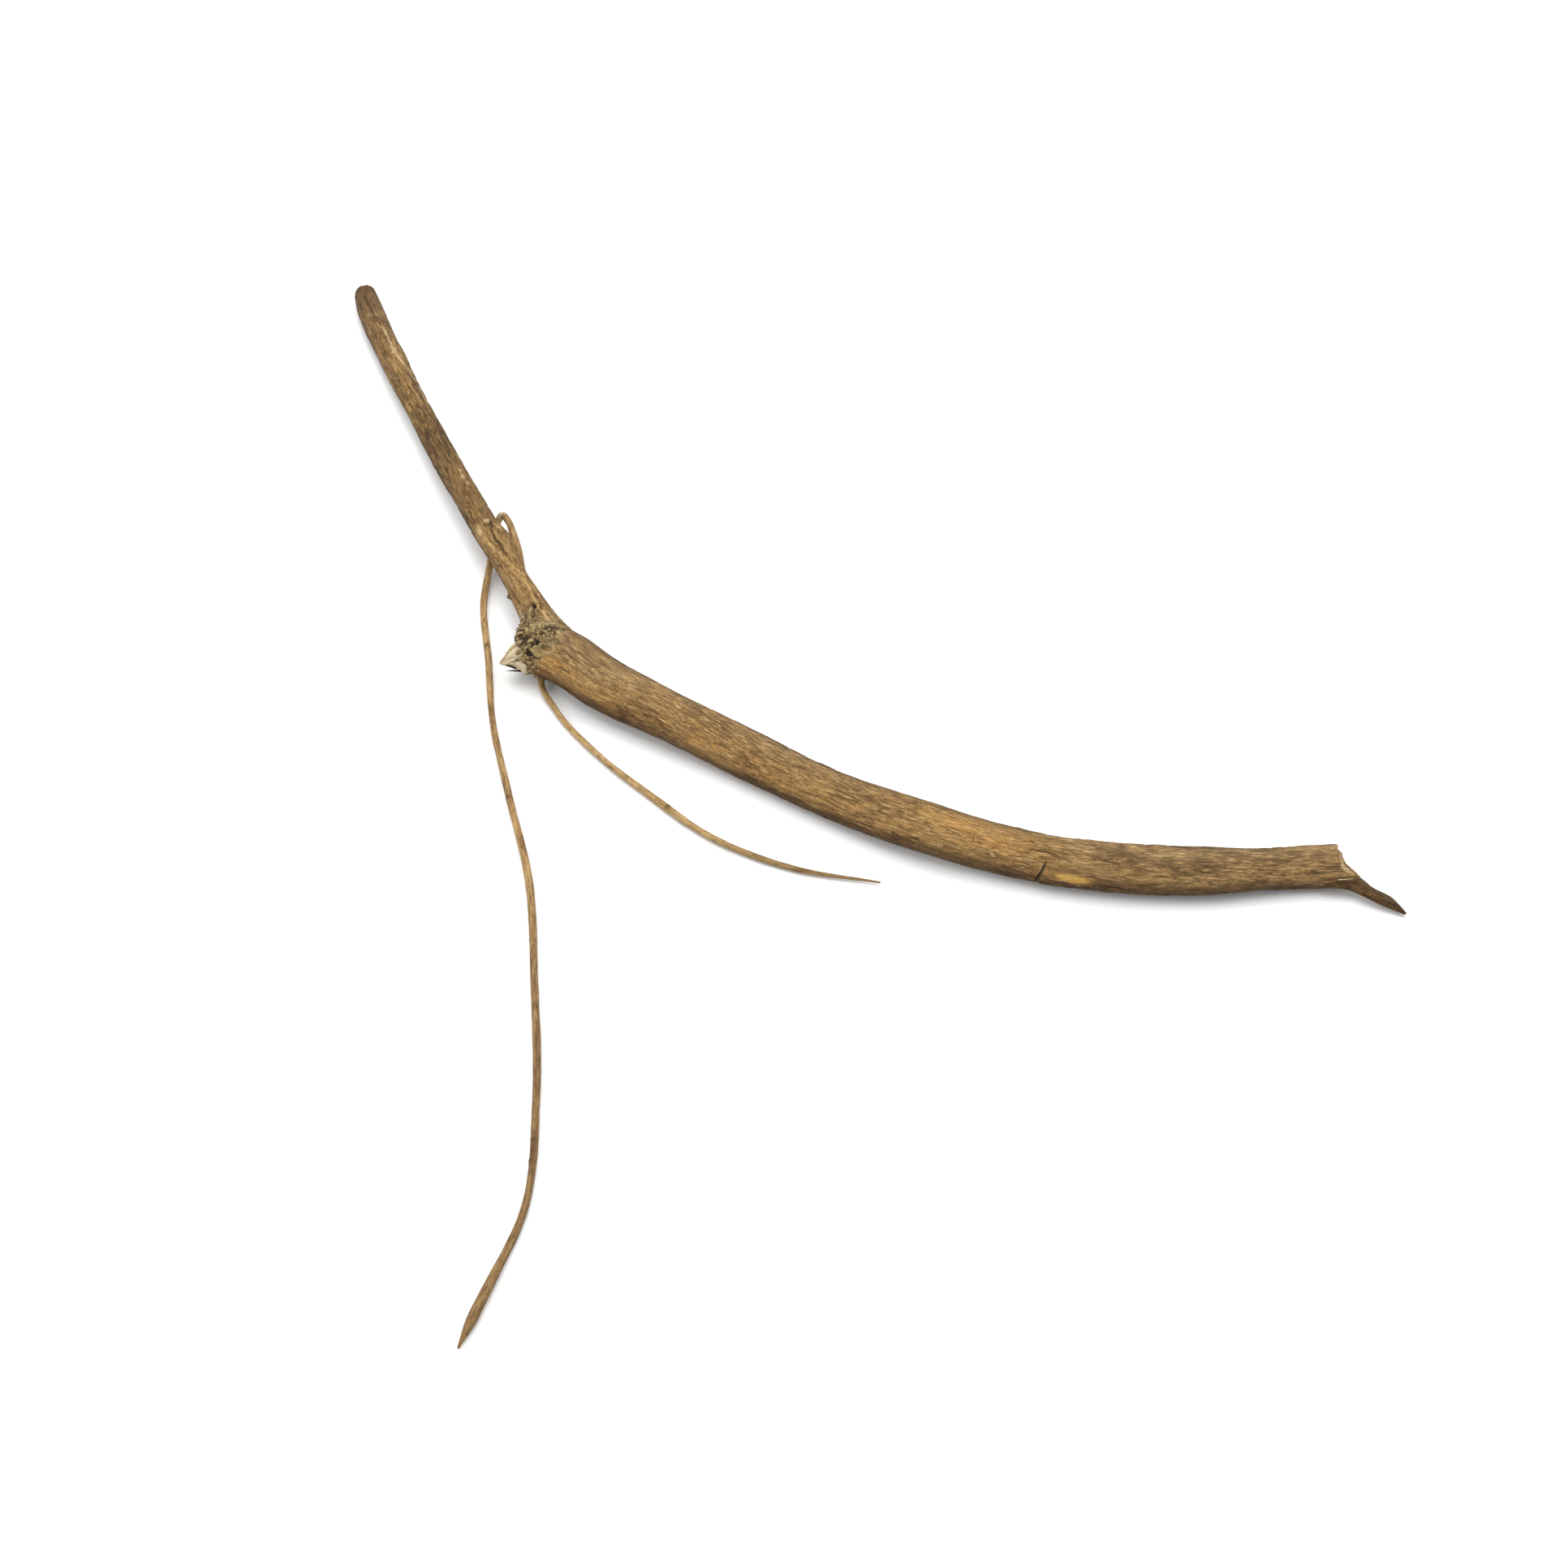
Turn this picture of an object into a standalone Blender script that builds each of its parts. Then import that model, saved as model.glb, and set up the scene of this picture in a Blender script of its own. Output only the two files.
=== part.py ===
"""A dried devil's shoestring root: a slim arm, a rough knot, a thick bowed body and two rootlets.

Blender 4.5, metres, +Z up. The root lies on the plane z = 0 as it would on a table. The origin is
on that plane, under the middle of the root's bounding box. The root grew as one piece, so every
part of it is fused into one closed solid.
"""
import math

import bmesh
import bpy
import numpy as np

MM = 0.001
UP = (0.0, 0.0, 1.0)

# Routes through the middle of each limb: x, y, z and radius in millimetres, chosen by hand.
# The body runs from its broken stub in the knot to its torn right end.
BODY_ROUTE = [
    (-60.9, 11.3, 6.5, 3.3),
    (-59.2, 11.8, 6.6, 4.7),
    (-56.4, 12.0, 6.7, 5.4),
    (-51.5, 10.0, 6.6, 5.6),
    (-43.0, 3.4, 6.1, 5.35),
    (-28.5, -5.1, 5.2, 5.0),
    (-12.0, -15.2, 4.25, 4.8),
    (7.0, -26.6, 4.6, 4.55),
    (17.0, -31.4, 4.9, 4.85),
    (38.0, -39.0, 4.7, 4.55),
    (58.0, -42.5, 4.7, 4.6),
    (74.0, -42.9, 4.5, 4.4),
    (81.0, -42.5, 4.2, 4.0),
    (96.2, -41.3, 3.75, 3.85),
]
# The arm runs from its rounded tip down into the knot.
ARM_ROUTE = [
    (-107.0, 134.0, 2.5, 2.5),
    (-104.6, 126.6, 2.7, 2.95),
    (-97.0, 107.5, 3.4, 2.9),
    (-82.2, 73.5, 5.4, 2.9),
    (-70.6, 48.5, 6.9, 2.9),
    (-60.4, 27.9, 7.2, 2.85),
    (-56.9, 20.5, 7.1, 3.4),
    (-55.0, 15.5, 7.0, 4.6),
    (-53.0, 11.5, 6.8, 4.8),
]
# The long rootlet leaves the arm's right side, turns over and passes back under the arm.
LONG_ROOTLET_ROUTE = [
    (-61.4, 32.0, 6.6, 1.2),
    (-62.1, 38.0, 7.2, 1.1),
    (-63.7, 45.0, 7.0, 0.8),
    (-65.4, 50.2, 6.2, 0.75),
    (-67.2, 53.2, 4.6, 0.75),
    (-68.5, 51.5, 2.7, 0.75),
    (-68.7, 43.0, 1.9, 0.75),
    (-69.2, 29.6, 1.4, 0.72),
    (-66.9, 14.5, 1.2, 0.7),
    (-64.6, -2.5, 1.05, 0.66),
    (-59.9, -21.3, 1.05, 0.67),
    (-54.3, -42.7, 1.05, 0.73),
    (-51.8, -64.0, 1.05, 0.72),
    (-49.5, -90.0, 1.05, 0.7),
    (-50.2, -113.0, 1.05, 0.66),
    (-54.3, -124.8, 1.1, 0.85),
    (-57.0, -132.0, 1.1, 0.85),
    (-58.6, -136.4, 0.8, 0.2),
]
# The short rootlet comes from the underside of the knot.
SHORT_ROOTLET_ROUTE = [
    (-55.0, 11.5, 3.6, 0.85),
    (-55.6, 8.0, 2.0, 0.66),
    (-52.2, 0.5, 1.0, 0.6),
    (-44.1, -10.2, 0.95, 0.6),
    (-32.4, -21.7, 0.95, 0.68),
    (-20.3, -32.1, 0.95, 0.61),
    (-5.3, -39.3, 0.9, 0.55),
    (11.5, -42.7, 0.7, 0.22),
]
# The ridge on the arm's right side, down to where the long rootlet leaves it.
FORK_RIDGE_ROUTE = [
    (-68.0, 47.5, 7.4, 0.9),
    (-65.5, 43.5, 7.9, 1.3),
    (-62.6, 37.0, 7.7, 1.3),
    (-61.2, 31.0, 7.2, 0.9),
]
# The torn wood that is left of the stub, drawn out to a point on the far side from the body.
STUB_WOOD_ROUTE = [
    (-57.5, 10.6, 6.3, 3.6),
    (-60.6, 9.9, 6.2, 2.5),
    (-62.2, 9.3, 6.0, 1.2),
    (-63.6, 8.7, 5.9, 0.3),
]
# The strip of outer wood that stands past the torn right end.
STRIP_ROUTE = [
    (92.0, -42.4, 3.2, 2.6),
    (97.0, -43.1, 3.1, 2.9),
    (99.7, -44.3, 2.7, 2.0),
    (102.8, -46.4, 2.2, 1.5),
    (106.0, -48.0, 1.6, 1.35),
    (108.8, -50.1, 0.8, 0.3),
]
STRIP_FLATNESS = 0.55
# Knobs left by side roots: place, size in millimetres, and the way each stands out.
NUBS = [
    (-70.4, 46.9, 9.4, 0.8, (0.2, -0.3, 0.9)),
    (-63.6, 26.9, 7.4, 0.7, (-0.9, -0.4, 0.1)),
    (-59.6, 14.6, 8.6, 1.5, (-0.8, 0.3, 0.4)),
    (-51.8, 14.2, 10.0, 1.0, (0.3, 0.4, 0.8)),
]

# How finely the limbs are cut: sides round each, and millimetres between rings along it.
POINTS_PER_SPAN = 40
BODY_SIDES = 26
BODY_RING_STEP = 2.0
ARM_SIDES = 18
ARM_RING_STEP = 2.6
ROOTLET_SIDES = 7
ROOTLET_RING_STEP = 2.2

# The grain: ridges on every other side, whose height swells and fades over these lengths, and
# their turn about the limb in radians for each millimetre.
RIDGE_HEIGHT_BODY = 0.2
RIDGE_HEIGHT_ARM = 0.13
RIDGE_LENGTHS = (14.0, 32.0)
RIDGE_MEAN = 0.65
RIDGE_SWELL = 0.35
GRAIN_TWIST = 0.0045

# Slow bulges of the section: how many go round the limb, and the length of one turn of them.
BULGES = [(2, 61.0), (3, 43.0), (4, 29.0)]
LIMB_UNEVENNESS = 0.05
ROOTLET_UNEVENNESS = 0.08

# The knot's rough bark: how far it reaches along each limb, its height, and its closer rings.
KNOT_REACH = 11.0
KNOT_ROUGHNESS = 0.5
KNOT_RING_STEP = 0.95
CRUMB_WAVES = 16
CRUMB_LENGTHS = (2.6, 6.5)
KNOT_SCALES = 7
SCALE_FLATNESS = 0.45
# A flake from its sunk root to its tip: how far along, how far out, and half its width.
SCALE_POINTS = [(-1.3, -0.8, 0.8), (0.0, 0.0, 1.1), (1.0, 0.4, 0.95), (1.4, 0.6, 0.6)]
# A knob from its sunk root to its top: how far out, and its half width as a share of its size.
NUB_POINTS = [(-1.0, 1.0), (0.0, 1.0), (0.7, 0.7), (1.0, 0.3)]

# A crack runs across the body here, with a small step in the bark past it.
CRACK_AT = 116.7
CRACK_STEP = 0.28
CRACK_SHARPNESS = 0.5
CRACK_FADE = 14.0

# The arm's rounded tip: its length, how much it narrows (1 is to nothing), and the dome at its end.
TIP_LENGTH = 2.4
TIP_NARROWING = 0.72
TIP_RING_STEP = 0.6
TIP_DOME = 0.35

# The breaks at the body's two ends: how far their rims are torn, and how deep they are hollowed.
RIM_JAG = 0.55
BREAK_HOLLOW = 1.0
BREAK_INNER_RING = 0.55
TORN_SLANT = 1.6
SPLINTERS = {"stub_splinter": 7, "end_splinter": 6}
SPLINTER_LENGTH = 2.6
SPLINTER_SHORTEST = 0.5
SPLINTER_RADIUS = 0.5
SPLINTER_ROOT = 2.4

BARK_COLOUR = (0.21, 0.125, 0.06, 1.0)
WOOD_COLOUR = (0.62, 0.49, 0.31, 1.0)
SHARP_ANGLE = 28.0


def clear_scene():
    """Remove whatever objects the file opens with."""
    for thing in list(bpy.data.objects):
        bpy.data.objects.remove(thing, do_unlink=True)


def dry_material(name, colour, roughness):
    """A dull, dry plant surface."""
    material = bpy.data.materials.new(name)
    material.use_nodes = True
    shader = material.node_tree.nodes["Principled BSDF"]
    shader.inputs["Base Color"].default_value = colour
    shader.inputs["Roughness"].default_value = roughness
    shader.inputs["Metallic"].default_value = 0.0
    return material


def smooth_route(route):
    """Carry a smooth curve through the route's points.

    Each span is a cubic whose slope at a point is that of the chord between its neighbours.
    Returns the distance along it, and the points with their radii, all in millimetres.
    """
    knots = np.array(route, float)
    chords = np.linalg.norm(np.diff(knots[:, :3], axis=0), axis=1)
    at = np.concatenate([[0.0], np.cumsum(chords)])
    slopes = np.gradient(knots, at, axis=0)
    fine = np.linspace(0.0, at[-1], POINTS_PER_SPAN * len(route))
    span = np.clip(np.searchsorted(at, fine, side="right") - 1, 0, len(at) - 2)
    width = (at[span + 1] - at[span])[:, None]
    t = (fine[:, None] - at[span][:, None]) / width
    leaving = (2 * t**3 - 3 * t**2 + 1) * knots[span] + (t**3 - 2 * t**2 + t) * width * slopes[span]
    reaching = (3 * t**2 - 2 * t**3) * knots[span + 1] + (t**3 - t**2) * width * slopes[span + 1]
    curve = leaving + reaching
    steps = np.linalg.norm(np.diff(curve[:, :3], axis=0), axis=1)
    return np.concatenate([[0.0], np.cumsum(steps)]), curve


def rings_along(route, step, close=()):
    """Read a route at rings a step apart, and nearer each other over its close stretches.

    Each of them is (start, finish, step), where a negative start counts back from the route's end.
    """
    run, curve = smooth_route(route)
    length = run[-1]
    crowding = np.full(len(run), 1.0 / step)
    for start, finish, near_step in close:
        if start < 0:
            start, finish = length + start, length + finish
        crowding = np.where((run >= start) & (run <= finish), 1.0 / near_step, crowding)
    counted = np.concatenate([[0.0], np.cumsum(np.diff(run) * 0.5 * (crowding[1:] + crowding[:-1]))])
    rings = max(3, int(round(counted[-1])) + 1)
    along = np.interp(np.linspace(0.0, counted[-1], rings), counted, run)
    even = np.column_stack([np.interp(along, run, curve[:, k]) for k in range(4)])
    return along, even[:, :3], even[:, 3]


def route_frames(points, top=UP):
    """The direction along the limb at each point, its top side, and the side at right angles."""
    ahead = np.gradient(points, axis=0)
    ahead /= np.linalg.norm(ahead, axis=1)[:, None]
    upper = np.array(top) - (ahead @ np.array(top))[:, None] * ahead
    upper /= np.linalg.norm(upper, axis=1)[:, None]
    return ahead, upper, np.cross(ahead, upper)


def swept_skin(route, sides, step, relief=None, flatness=1.0, close=(), twist=0.0, top=UP):
    """Rings of points round a route, and the direction of the limb at each ring.

    relief(along, angle, radius) gives the height of the surface over the plain round section,
    which flatness then presses towards the route from its top side and its underside. twist
    turns the rings, and the grain with them, by an angle for each millimetre along.
    """
    along, middle, radius = rings_along(route, step, close)
    ahead, upper, side = route_frames(middle, top)
    angle = np.arange(sides)[None, :] * 2 * math.pi / sides + twist * along[:, None]
    reach = np.repeat(radius[:, None], sides, axis=1)
    if relief is not None:
        reach = reach + relief(along[:, None], angle, radius[:, None])
    across = np.cos(angle)[:, :, None] * flatness * upper[:, None, :]
    across = across + np.sin(angle)[:, :, None] * side[:, None, :]
    return middle[:, None, :] + reach[:, :, None] * across, ahead


def tube_faces(rings, sides):
    """Two triangles in each cell between rings, and a fan to a middle point at each end."""
    ring = np.arange(rings - 1)[:, None] * sides
    side = np.arange(sides)[None, :]
    after = (side + 1) % sides
    here, beside, past, opposite = ring + side, ring + after, ring + sides + side, ring + sides + after
    lower = np.stack([here, beside, opposite], axis=-1).reshape(-1, 3)
    upper = np.stack([here, opposite, past], axis=-1).reshape(-1, 3)
    rim = np.arange(sides)
    next_rim = (rim + 1) % sides
    last = (rings - 1) * sides
    first_fan = np.stack([np.full(sides, rings * sides), next_rim, rim], axis=-1)
    last_fan = np.stack([np.full(sides, rings * sides + 1), last + rim, last + next_rim], axis=-1)
    return np.vstack([lower, upper, first_fan, last_fan]).tolist()


def closed_solid(name, skin, tips, material):
    """Close rings of points with a tip at each end, and make them an object in metres.

    What would go below the plane that the root rests on is pressed flat against it.
    """
    points = np.vstack([skin.reshape(-1, 3), tips])
    points[:, 2] = np.maximum(points[:, 2], 0.0)
    mesh = bpy.data.meshes.new(name)
    mesh.from_pydata((points * MM).tolist(), [], tube_faces(skin.shape[0], skin.shape[1]))
    mesh.materials.append(material)
    solid = bpy.data.objects.new(name, mesh)
    bpy.context.scene.collection.objects.link(solid)
    return solid


def limb(name, route, sides, step, material, tip=0.2, **form):
    """A plain limb along a route, whose ends stand out by a small tip."""
    skin, ahead = swept_skin(route, sides, step, **form)
    ends = skin[[0, -1]].mean(axis=1)
    tips = ends + np.array([-tip * ahead[0], tip * ahead[-1]])
    return closed_solid(name, skin, tips, material)


def grain_ridges(seed, sides, height):
    """Ridges along the grain on every other side, each swelling and fading by itself."""
    rng = np.random.default_rng(seed)
    crest = np.where(np.arange(sides) % 2 == 0, 1.0, -1.0)
    phase = rng.uniform(0, 2 * math.pi, sides)
    length = rng.uniform(*RIDGE_LENGTHS, sides)

    def relief(along, angle, radius):
        swell = RIDGE_MEAN + RIDGE_SWELL * np.sin(2 * math.pi * along / length[None, :] + phase[None, :])
        return height * crest[None, :] * swell

    return relief


def uneven_section(seed, amount):
    """Slow bulges and flats that turn slowly round the limb as it grows."""
    rng = np.random.default_rng(seed)
    phases = rng.uniform(0, 2 * math.pi, len(BULGES))

    def relief(along, angle, radius):
        total = 0.0
        for (count, pitch), phase in zip(BULGES, phases):
            total = total + np.cos(count * angle + 2 * math.pi * along / pitch + phase)
        return radius * amount * total / len(BULGES)

    return relief


def crumbly_bark(seed, middle, reach, height):
    """Short lumps and pits that cover a stretch of the limb and fade out past it."""
    rng = np.random.default_rng(seed)
    waves = rng.integers(2, 10, CRUMB_WAVES)
    pitches = rng.uniform(*CRUMB_LENGTHS, CRUMB_WAVES) * rng.choice([-1.0, 1.0], CRUMB_WAVES)
    phases = rng.uniform(0, 2 * math.pi, CRUMB_WAVES)

    def relief(along, angle, radius):
        total = 0.0
        for wave, pitch, phase in zip(waves, pitches, phases):
            total = total + np.cos(wave * angle + 2 * math.pi * along / pitch + phase)
        fade = np.exp(-(((along - middle) / reach) ** 4))
        return height * total / math.sqrt(CRUMB_WAVES) * fade

    return relief


def crack_step(along, angle, radius):
    """The bark is a little thicker past the crack, on the near side of the body."""
    near = np.clip(np.sin(angle), 0.0, 1.0)
    rise = 1 / (1 + np.exp(-(along - CRACK_AT) / CRACK_SHARPNESS))
    fade = np.exp(-np.clip(along - CRACK_AT, 0, None) / CRACK_FADE)
    return CRACK_STEP * near * rise * fade


def rounded_tip(along, angle, radius):
    """The arm's tip narrows to a rounded end: a quarter of an ellipse over the tip's length."""
    left = np.clip(TIP_LENGTH - along, 0, None) / TIP_LENGTH
    return radius * (np.sqrt(1 - TIP_NARROWING * left**2) - 1) + 0 * angle


def added(*reliefs):
    """Several reliefs laid over each other."""
    return lambda along, angle, radius: sum(part(along, angle, radius) for part in reliefs)


def broken_end(rim, out, rng, slant):
    """A torn rim and the hollow inside it: two rings, from the rim inwards, and a middle point.

    The rim's fibres stand out by uneven amounts, and by slant more on the lower side.
    """
    sides = len(rim)
    height = rim[:, 2]
    near = (height.max() - height) / (height.max() - height.min())
    torn = rng.uniform(-RIM_JAG, RIM_JAG, sides) + slant * near
    edge = rim + torn[:, None] * out
    middle = rim.mean(axis=0)
    depth = BREAK_HOLLOW * rng.uniform(0.3, 1.0, sides) - slant * 0.5 * near
    inner = middle + BREAK_INNER_RING * (rim - middle) - depth[:, None] * out
    return edge, inner, middle - 0.7 * BREAK_HOLLOW * out


def body(bark):
    """The thick bowed body, with ridges along the grain, crumbly bark at the knot and torn ends."""
    relief = added(
        uneven_section(3, LIMB_UNEVENNESS),
        grain_ridges(5, BODY_SIDES, RIDGE_HEIGHT_BODY),
        crumbly_bark(8, 3.0, KNOT_REACH, KNOT_ROUGHNESS),
        crack_step,
    )
    close = [(0.0, KNOT_REACH, KNOT_RING_STEP)]
    skin, ahead = swept_skin(BODY_ROUTE, BODY_SIDES, BODY_RING_STEP, relief, close=close, twist=GRAIN_TWIST)
    rng = np.random.default_rng(61)
    start_rim, start_inner, start_tip = broken_end(skin[0], -ahead[0], rng, 0.0)
    end_rim, end_inner, end_tip = broken_end(skin[-1], ahead[-1], rng, TORN_SLANT)
    whole = np.concatenate([[start_inner, start_rim], skin[1:-1], [end_rim, end_inner]])
    return closed_solid("root", whole, np.array([start_tip, end_tip]), bark)


def arm(bark):
    """The slim arm, from its rounded tip into the knot."""
    length = smooth_route(ARM_ROUTE)[0][-1]
    relief = added(
        uneven_section(11, LIMB_UNEVENNESS),
        grain_ridges(12, ARM_SIDES, RIDGE_HEIGHT_ARM),
        crumbly_bark(13, length - 4.0, KNOT_REACH, KNOT_ROUGHNESS),
        rounded_tip,
    )
    close = [(0.0, TIP_LENGTH, TIP_RING_STEP), (-KNOT_REACH - 4.0, 0.0, KNOT_RING_STEP)]
    form = {"relief": relief, "close": close, "twist": -GRAIN_TWIST}
    return limb("arm", ARM_ROUTE, ARM_SIDES, ARM_RING_STEP, bark, tip=TIP_DOME, **form)


def rootlets(bark):
    """The long and the short rootlet, a little uneven along their length."""
    routes = {"long_rootlet": LONG_ROOTLET_ROUTE, "short_rootlet": SHORT_ROOTLET_ROUTE}
    for seed, (name, route) in enumerate(routes.items(), start=21):
        uneven = uneven_section(seed, ROOTLET_UNEVENNESS)
        yield limb(name, route, ROOTLET_SIDES, ROOTLET_RING_STEP, bark, relief=uneven)


def fork_ridge(bark):
    """The swollen ridge on the arm's right side that the long rootlet grows out of."""
    return limb("fork_ridge", FORK_RIDGE_ROUTE, 9, 1.9, bark, relief=uneven_section(31, 0.12))


def torn_wood(wood):
    """The drawn-out wood of the stub, and the flat strip past the torn right end."""
    yield limb("stub_wood", STUB_WOOD_ROUTE, 10, 1.0, wood, relief=crumbly_bark(35, 3.0, 6.0, 0.2))
    uneven = uneven_section(33, 0.1)
    yield limb("torn_strip", STRIP_ROUTE, 12, 1.5, wood, relief=uneven, flatness=STRIP_FLATNESS)


def splinters(wood):
    """Torn fibres inside the rims of the two breaks: most are short, and a few are long."""
    _, middle, radius = rings_along(BODY_ROUTE, 1.0)
    ahead, upper, side = route_frames(middle)
    ends = {"stub_splinter": (0, -ahead[0]), "end_splinter": (-1, ahead[-1])}
    for seed, (name, (end, out)) in enumerate(ends.items(), start=51):
        rng = np.random.default_rng(seed)
        for k in range(SPLINTERS[name]):
            angle = rng.uniform(0, 2 * math.pi)
            spoke = math.cos(angle) * upper[end] + math.sin(angle) * side[end]
            foot = middle[end] + radius[end] * rng.uniform(0.4, 0.75) * spoke
            reach = SPLINTER_SHORTEST + SPLINTER_LENGTH * rng.uniform() ** 2
            tip = foot + reach * (out + rng.uniform(-0.15, 0.25) * spoke)
            size = SPLINTER_RADIUS * rng.uniform(0.7, 1.2)
            waist = 0.4 * foot + 0.6 * tip
            route = [(*(foot - SPLINTER_ROOT * out), size), (*foot, size), (*waist, 0.7 * size), (*tip, 0.15)]
            yield limb(f"{name}_{k}", route, 5, 1.5, wood, tip=0.1)


def knot_scales(bark):
    """Loose flakes of bark that lift from the knot, each sunk by its root into the body."""
    rng = np.random.default_rng(41)
    _, middle, radius = rings_along(BODY_ROUTE, 1.0)
    ahead, upper, side = route_frames(middle)
    for k in range(KNOT_SCALES):
        ring = int(rng.integers(2, 12))
        angle = rng.uniform(-0.6, 2.4)
        spoke = math.cos(angle) * upper[ring] + math.sin(angle) * side[ring]
        foot = middle[ring] + (radius[ring] - 0.1) * spoke
        grain = ahead[ring] * rng.choice([-1.0, 1.0]) + rng.uniform(-0.6, 0.6) * np.cross(spoke, ahead[ring])
        route = [(*(foot + on * grain + out * spoke), half_width) for on, out, half_width in SCALE_POINTS]
        yield limb(f"knot_scale_{k}", route, 7, 1.1, bark, tip=0.1, flatness=SCALE_FLATNESS, top=tuple(spoke))


def nubs(bark):
    """Small knobs where side roots broke off."""
    for k, (x, y, z, size, toward) in enumerate(NUBS):
        foot = np.array([x, y, z])
        route = [(*(foot + out * np.array(toward)), wide * size) for out, wide in NUB_POINTS]
        yield limb(f"nub_{k}", route, 7, 0.8, bark, tip=0.1, top=(0.0, 1.0, 0.3))


def fuse(base, growths):
    """Join everything that grows from the base to it, as one closed solid."""
    group = bpy.data.collections.new("growths")
    bpy.context.scene.collection.children.link(group)
    for growth in growths:
        group.objects.link(growth)
        bpy.context.scene.collection.objects.unlink(growth)
    union = base.modifiers.new("grown_together", "BOOLEAN")
    union.operation = "UNION"
    union.operand_type = "COLLECTION"
    union.collection = group
    union.solver = "EXACT"
    graph = bpy.context.evaluated_depsgraph_get()
    fused = bpy.data.meshes.new_from_object(base.evaluated_get(graph))
    base.modifiers.clear()
    base.data = fused
    for growth in list(group.objects):
        bpy.data.objects.remove(growth, do_unlink=True)
    bpy.data.collections.remove(group)


def shade(solid):
    """Cut the faces that joining left into triangles, and shade all but the sharp ridges smooth."""
    shape = bmesh.new()
    shape.from_mesh(solid.data)
    bmesh.ops.triangulate(shape, faces=shape.faces)
    shape.to_mesh(solid.data)
    shape.free()
    solid.data.shade_smooth()
    solid.data.set_sharp_from_angle(angle=math.radians(SHARP_ANGLE))


def main():
    clear_scene()
    bark = dry_material("dry_bark", BARK_COLOUR, 0.85)
    wood = dry_material("torn_wood", WOOD_COLOUR, 0.8)
    root = body(bark)
    growths = [arm(bark), fork_ridge(bark), *rootlets(bark), *torn_wood(wood)]
    growths += [*splinters(wood), *knot_scales(bark), *nubs(bark)]
    fuse(root, growths)
    shade(root)


main()
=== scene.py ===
"""The looks of a dried devil's shoestring root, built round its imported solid.

Lengths are in millimetres until a mesh is made. A place on a limb's bark is given by the distance
along the limb and by an angle round it: 0 degrees is the top side, and 90 degrees is the side that
faces the camera on the body, and the left side on the arm.
"""

import itertools
import math

import bpy
import numpy as np
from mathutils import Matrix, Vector


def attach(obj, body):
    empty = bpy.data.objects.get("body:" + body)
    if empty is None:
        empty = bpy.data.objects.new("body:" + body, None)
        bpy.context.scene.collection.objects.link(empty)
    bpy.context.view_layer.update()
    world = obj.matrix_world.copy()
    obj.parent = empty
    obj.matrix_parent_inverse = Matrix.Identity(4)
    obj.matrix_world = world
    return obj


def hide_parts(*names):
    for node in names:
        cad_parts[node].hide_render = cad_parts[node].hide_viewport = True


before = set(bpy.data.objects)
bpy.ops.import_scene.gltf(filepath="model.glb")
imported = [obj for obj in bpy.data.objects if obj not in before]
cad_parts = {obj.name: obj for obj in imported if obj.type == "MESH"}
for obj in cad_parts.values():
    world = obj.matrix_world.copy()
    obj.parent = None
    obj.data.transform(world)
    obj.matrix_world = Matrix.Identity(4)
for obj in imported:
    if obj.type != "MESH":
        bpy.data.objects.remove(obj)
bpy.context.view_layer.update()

MM = 0.001
UP = (0.0, 0.0, 1.0)

# How many points a route's curve gets for each point of the route.
POINTS_PER_SPAN = 40

# How far the grain turns round a limb, in radians for each millimetre along it.
GRAIN_TWIST = 0.0045

# The same routes as the solid's: x, y, z and radius.
BODY_ROUTE = [
    (-60.9, 11.3, 6.5, 3.3),
    (-59.2, 11.8, 6.6, 4.7),
    (-56.4, 12.0, 6.7, 5.4),
    (-51.5, 10.0, 6.6, 5.6),
    (-43.0, 3.4, 6.1, 5.35),
    (-28.5, -5.1, 5.2, 5.0),
    (-12.0, -15.2, 4.25, 4.8),
    (7.0, -26.6, 4.6, 4.55),
    (17.0, -31.4, 4.9, 4.85),
    (38.0, -39.0, 4.7, 4.55),
    (58.0, -42.5, 4.7, 4.6),
    (74.0, -42.9, 4.5, 4.4),
    (81.0, -42.5, 4.2, 4.0),
    (96.2, -41.3, 3.75, 3.85),
]
ARM_ROUTE = [
    (-107.0, 134.0, 2.5, 2.5),
    (-104.6, 126.6, 2.7, 2.95),
    (-97.0, 107.5, 3.4, 2.9),
    (-82.2, 73.5, 5.4, 2.9),
    (-70.6, 48.5, 6.9, 2.9),
    (-60.4, 27.9, 7.2, 2.85),
    (-56.9, 20.5, 7.1, 3.4),
    (-55.0, 15.5, 7.0, 4.6),
    (-53.0, 11.5, 6.8, 4.8),
]
LONG_ROOTLET_ROUTE = [
    (-61.4, 32.0, 6.6, 1.2),
    (-62.1, 38.0, 7.2, 1.1),
    (-63.7, 45.0, 7.0, 0.8),
    (-65.4, 50.2, 6.2, 0.75),
    (-67.2, 53.2, 4.6, 0.75),
    (-68.5, 51.5, 2.7, 0.75),
    (-68.7, 43.0, 1.9, 0.75),
    (-69.2, 29.6, 1.4, 0.72),
    (-66.9, 14.5, 1.2, 0.7),
    (-64.6, -2.5, 1.05, 0.66),
    (-59.9, -21.3, 1.05, 0.67),
    (-54.3, -42.7, 1.05, 0.73),
    (-51.8, -64.0, 1.05, 0.72),
    (-49.5, -90.0, 1.05, 0.7),
    (-50.2, -113.0, 1.05, 0.66),
    (-54.3, -124.8, 1.1, 0.85),
    (-57.0, -132.0, 1.1, 0.85),
    (-58.6, -136.4, 0.8, 0.2),
]
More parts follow.
